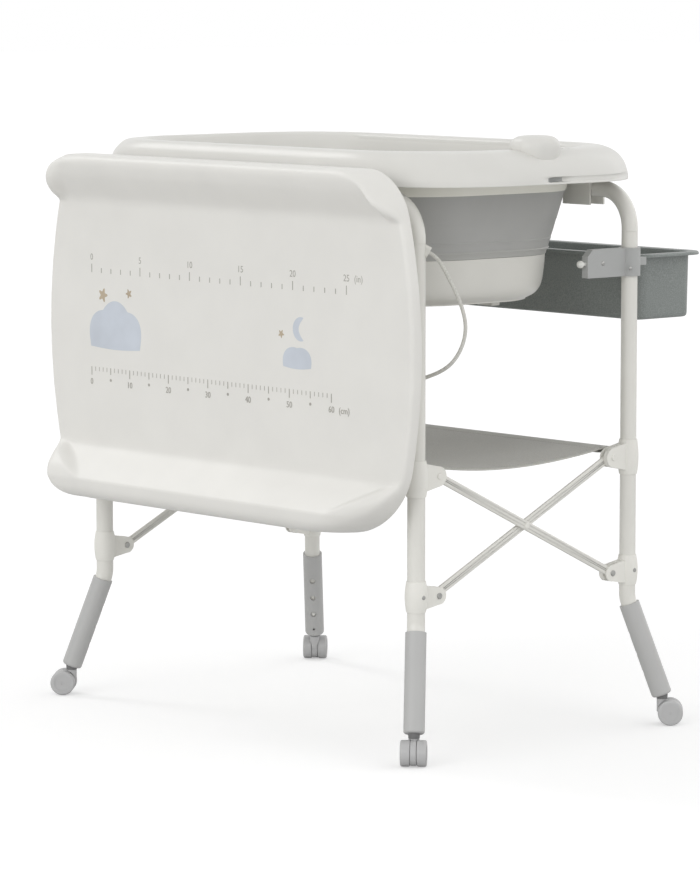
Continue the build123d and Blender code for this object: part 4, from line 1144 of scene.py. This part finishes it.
# Finish of the nodes that keep their own shape
node_finishes = (
    (("rail", "leg", "brace_a_", "brace_b_"), "white_tube", 0.5),
    (("collars", "upper_collar", "board_fittings", "board_hinge_brackets"), "white_moulding", 0.8),
    (("shelf_rod",), "white_tube", 0.3),
    (("sleeve",), "grey_sleeve", 0.6),
    (("height_button", "latch_knob"), "button_white", 0.2),
    (("caster_neck",), "dark_neck", 0.5),
    (("caster_body", "caster_wheels"), "grey_wheel", 0.4),
    (("rear_clamps",), "grey_clamp", 0.9),
    (("tub_saddles",), "white_moulding", 0.7),
    (("rivets",), "white_moulding", 0.3),
    (("fasteners",), "dark", 0.3),
    (("drain_plug",), "plug", 0.5),
)
special_finishes = {"dark": dark_steel, "plug": plug_plastic}
# The cord's anchor plate lies above this height, the collar screws below
anchor_height = 0.75
bevel_angle = 38


def finish_nodes():
    """Materials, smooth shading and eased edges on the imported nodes."""
    for name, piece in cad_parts.items():
        finishes = [row[1:] for row in node_finishes if any(word in name for word in row[0])]
        if piece.hide_render or not finishes:
            continue
        finish, edge = finishes[0]
        mesh = piece.data
        mesh.materials.clear()
        mesh.materials.append(special_finishes.get(finish) or materials[finish])
        if name == "front_fasteners":
            mesh.materials.append(materials["white_tube"])
            for face in mesh.polygons:
                face.material_index = int(face.center.z > anchor_height)
        if "custom_normal" in mesh.attributes:
            mesh.attributes.remove(mesh.attributes["custom_normal"])
        mesh.shade_smooth()
        weld = piece.modifiers.new("weld", "WELD")
        weld.merge_threshold = 0.01 * mm
        bevel = piece.modifiers.new("eased_edges", "BEVEL")
        bevel.width, bevel.segments = edge * mm, 2
        bevel.limit_method, bevel.angle_limit = "ANGLE", math.radians(bevel_angle)
        bevel.harden_normals = bevel.use_clamp_overlap = True


# Floor, world and lamps
floor_colour, white = (0.7, 0.7, 0.7, 1), (1, 1, 1, 1)
floor_reach, floor_glow, world_light = 40.0, 0.40, 0.66
# Name, direction towards the lamp, strength and softness in degrees
lamps = (
    ("key", (0.15, -1.0, 0.22), 1.15, 50.0),
    ("fill", (1.0, 0.15, 0.2), 0.70, 60.0),
    ("left", (-0.75, -0.1, 0.62), 0.40, 16.0),
    ("back", (0.2, 1.0, 0.5), 0.55, 60.0),
)


def empty_tree(owner):
    """Tree of a material or world with nothing in it."""
    owner.use_nodes = True
    owner.node_tree.nodes.clear()
    return owner.node_tree


def make_floor():
    """White floor that keeps a soft shadow."""
    mesh = bpy.data.meshes.new("floor")
    sides = ((-1, -1), (1, -1), (1, 1), (-1, 1))
    mesh.from_pydata([(x * floor_reach, y * floor_reach, 0) for x, y in sides], [], [(0, 1, 2, 3)])
    floor = link("floor", mesh)
    floor.location.z = -0.0005
    material = bpy.data.materials.new("floor_white")
    tree = empty_tree(material)
    seen = add_node(tree, "LightPath", {}).outputs["Is Camera Ray"]
    paint = add_node(tree, "BsdfDiffuse", {"Color": floor_colour}).outputs[0]
    glow = add_node(tree, "Emission", {"Strength": math_node(tree, "MULTIPLY", seen, floor_glow)}).outputs[0]
    both = add_node(tree, "AddShader", {0: paint, 1: glow}).outputs[0]
    add_node(tree, "OutputMaterial", {"Surface": both})
    mesh.materials.append(material)


def make_world():
    """Plain light all round, white to the camera, in gloss and through glass."""
    world = bpy.data.worlds.new("studio")
    scene.world = world
    tree = empty_tree(world)
    rays = add_node(tree, "LightPath", {}).outputs
    gloss = math_node(tree, "MAXIMUM", rays["Is Camera Ray"], rays["Is Glossy Ray"])
    glass = math_node(tree, "MAXIMUM", gloss, rays["Is Transmission Ray"])
    lit = add_node(tree, "Background", {"Color": white, "Strength": world_light}).outputs[0]
    seen = add_node(tree, "Background", {"Color": white}).outputs[0]
    mix = add_node(tree, "MixShader", {"Fac": glass, 1: lit, 2: seen}).outputs[0]
    add_node(tree, "OutputWorld", {"Surface": mix})


def add_lamps():
    """Soft lamps at a plain level."""
    for name, way, strength, softness in lamps:
        lamp = bpy.data.lights.new(name, "SUN")
        lamp.angle = math.radians(softness)
        lamp.energy = strength
        holder = link(name, lamp)
        holder.rotation_euler = Vector(way).to_track_quat("Z", "Y").to_euler()


add_camera()
make_cord()
rim_piece = make_rim()
make_tub_rings()
make_wall()
make_base()
make_rest(rim_piece)
make_board()
make_rulers()
make_motifs()
make_tray()
make_shelf()
make_clamp_screws()
finish_nodes()
make_floor()
make_world()
add_lamps()
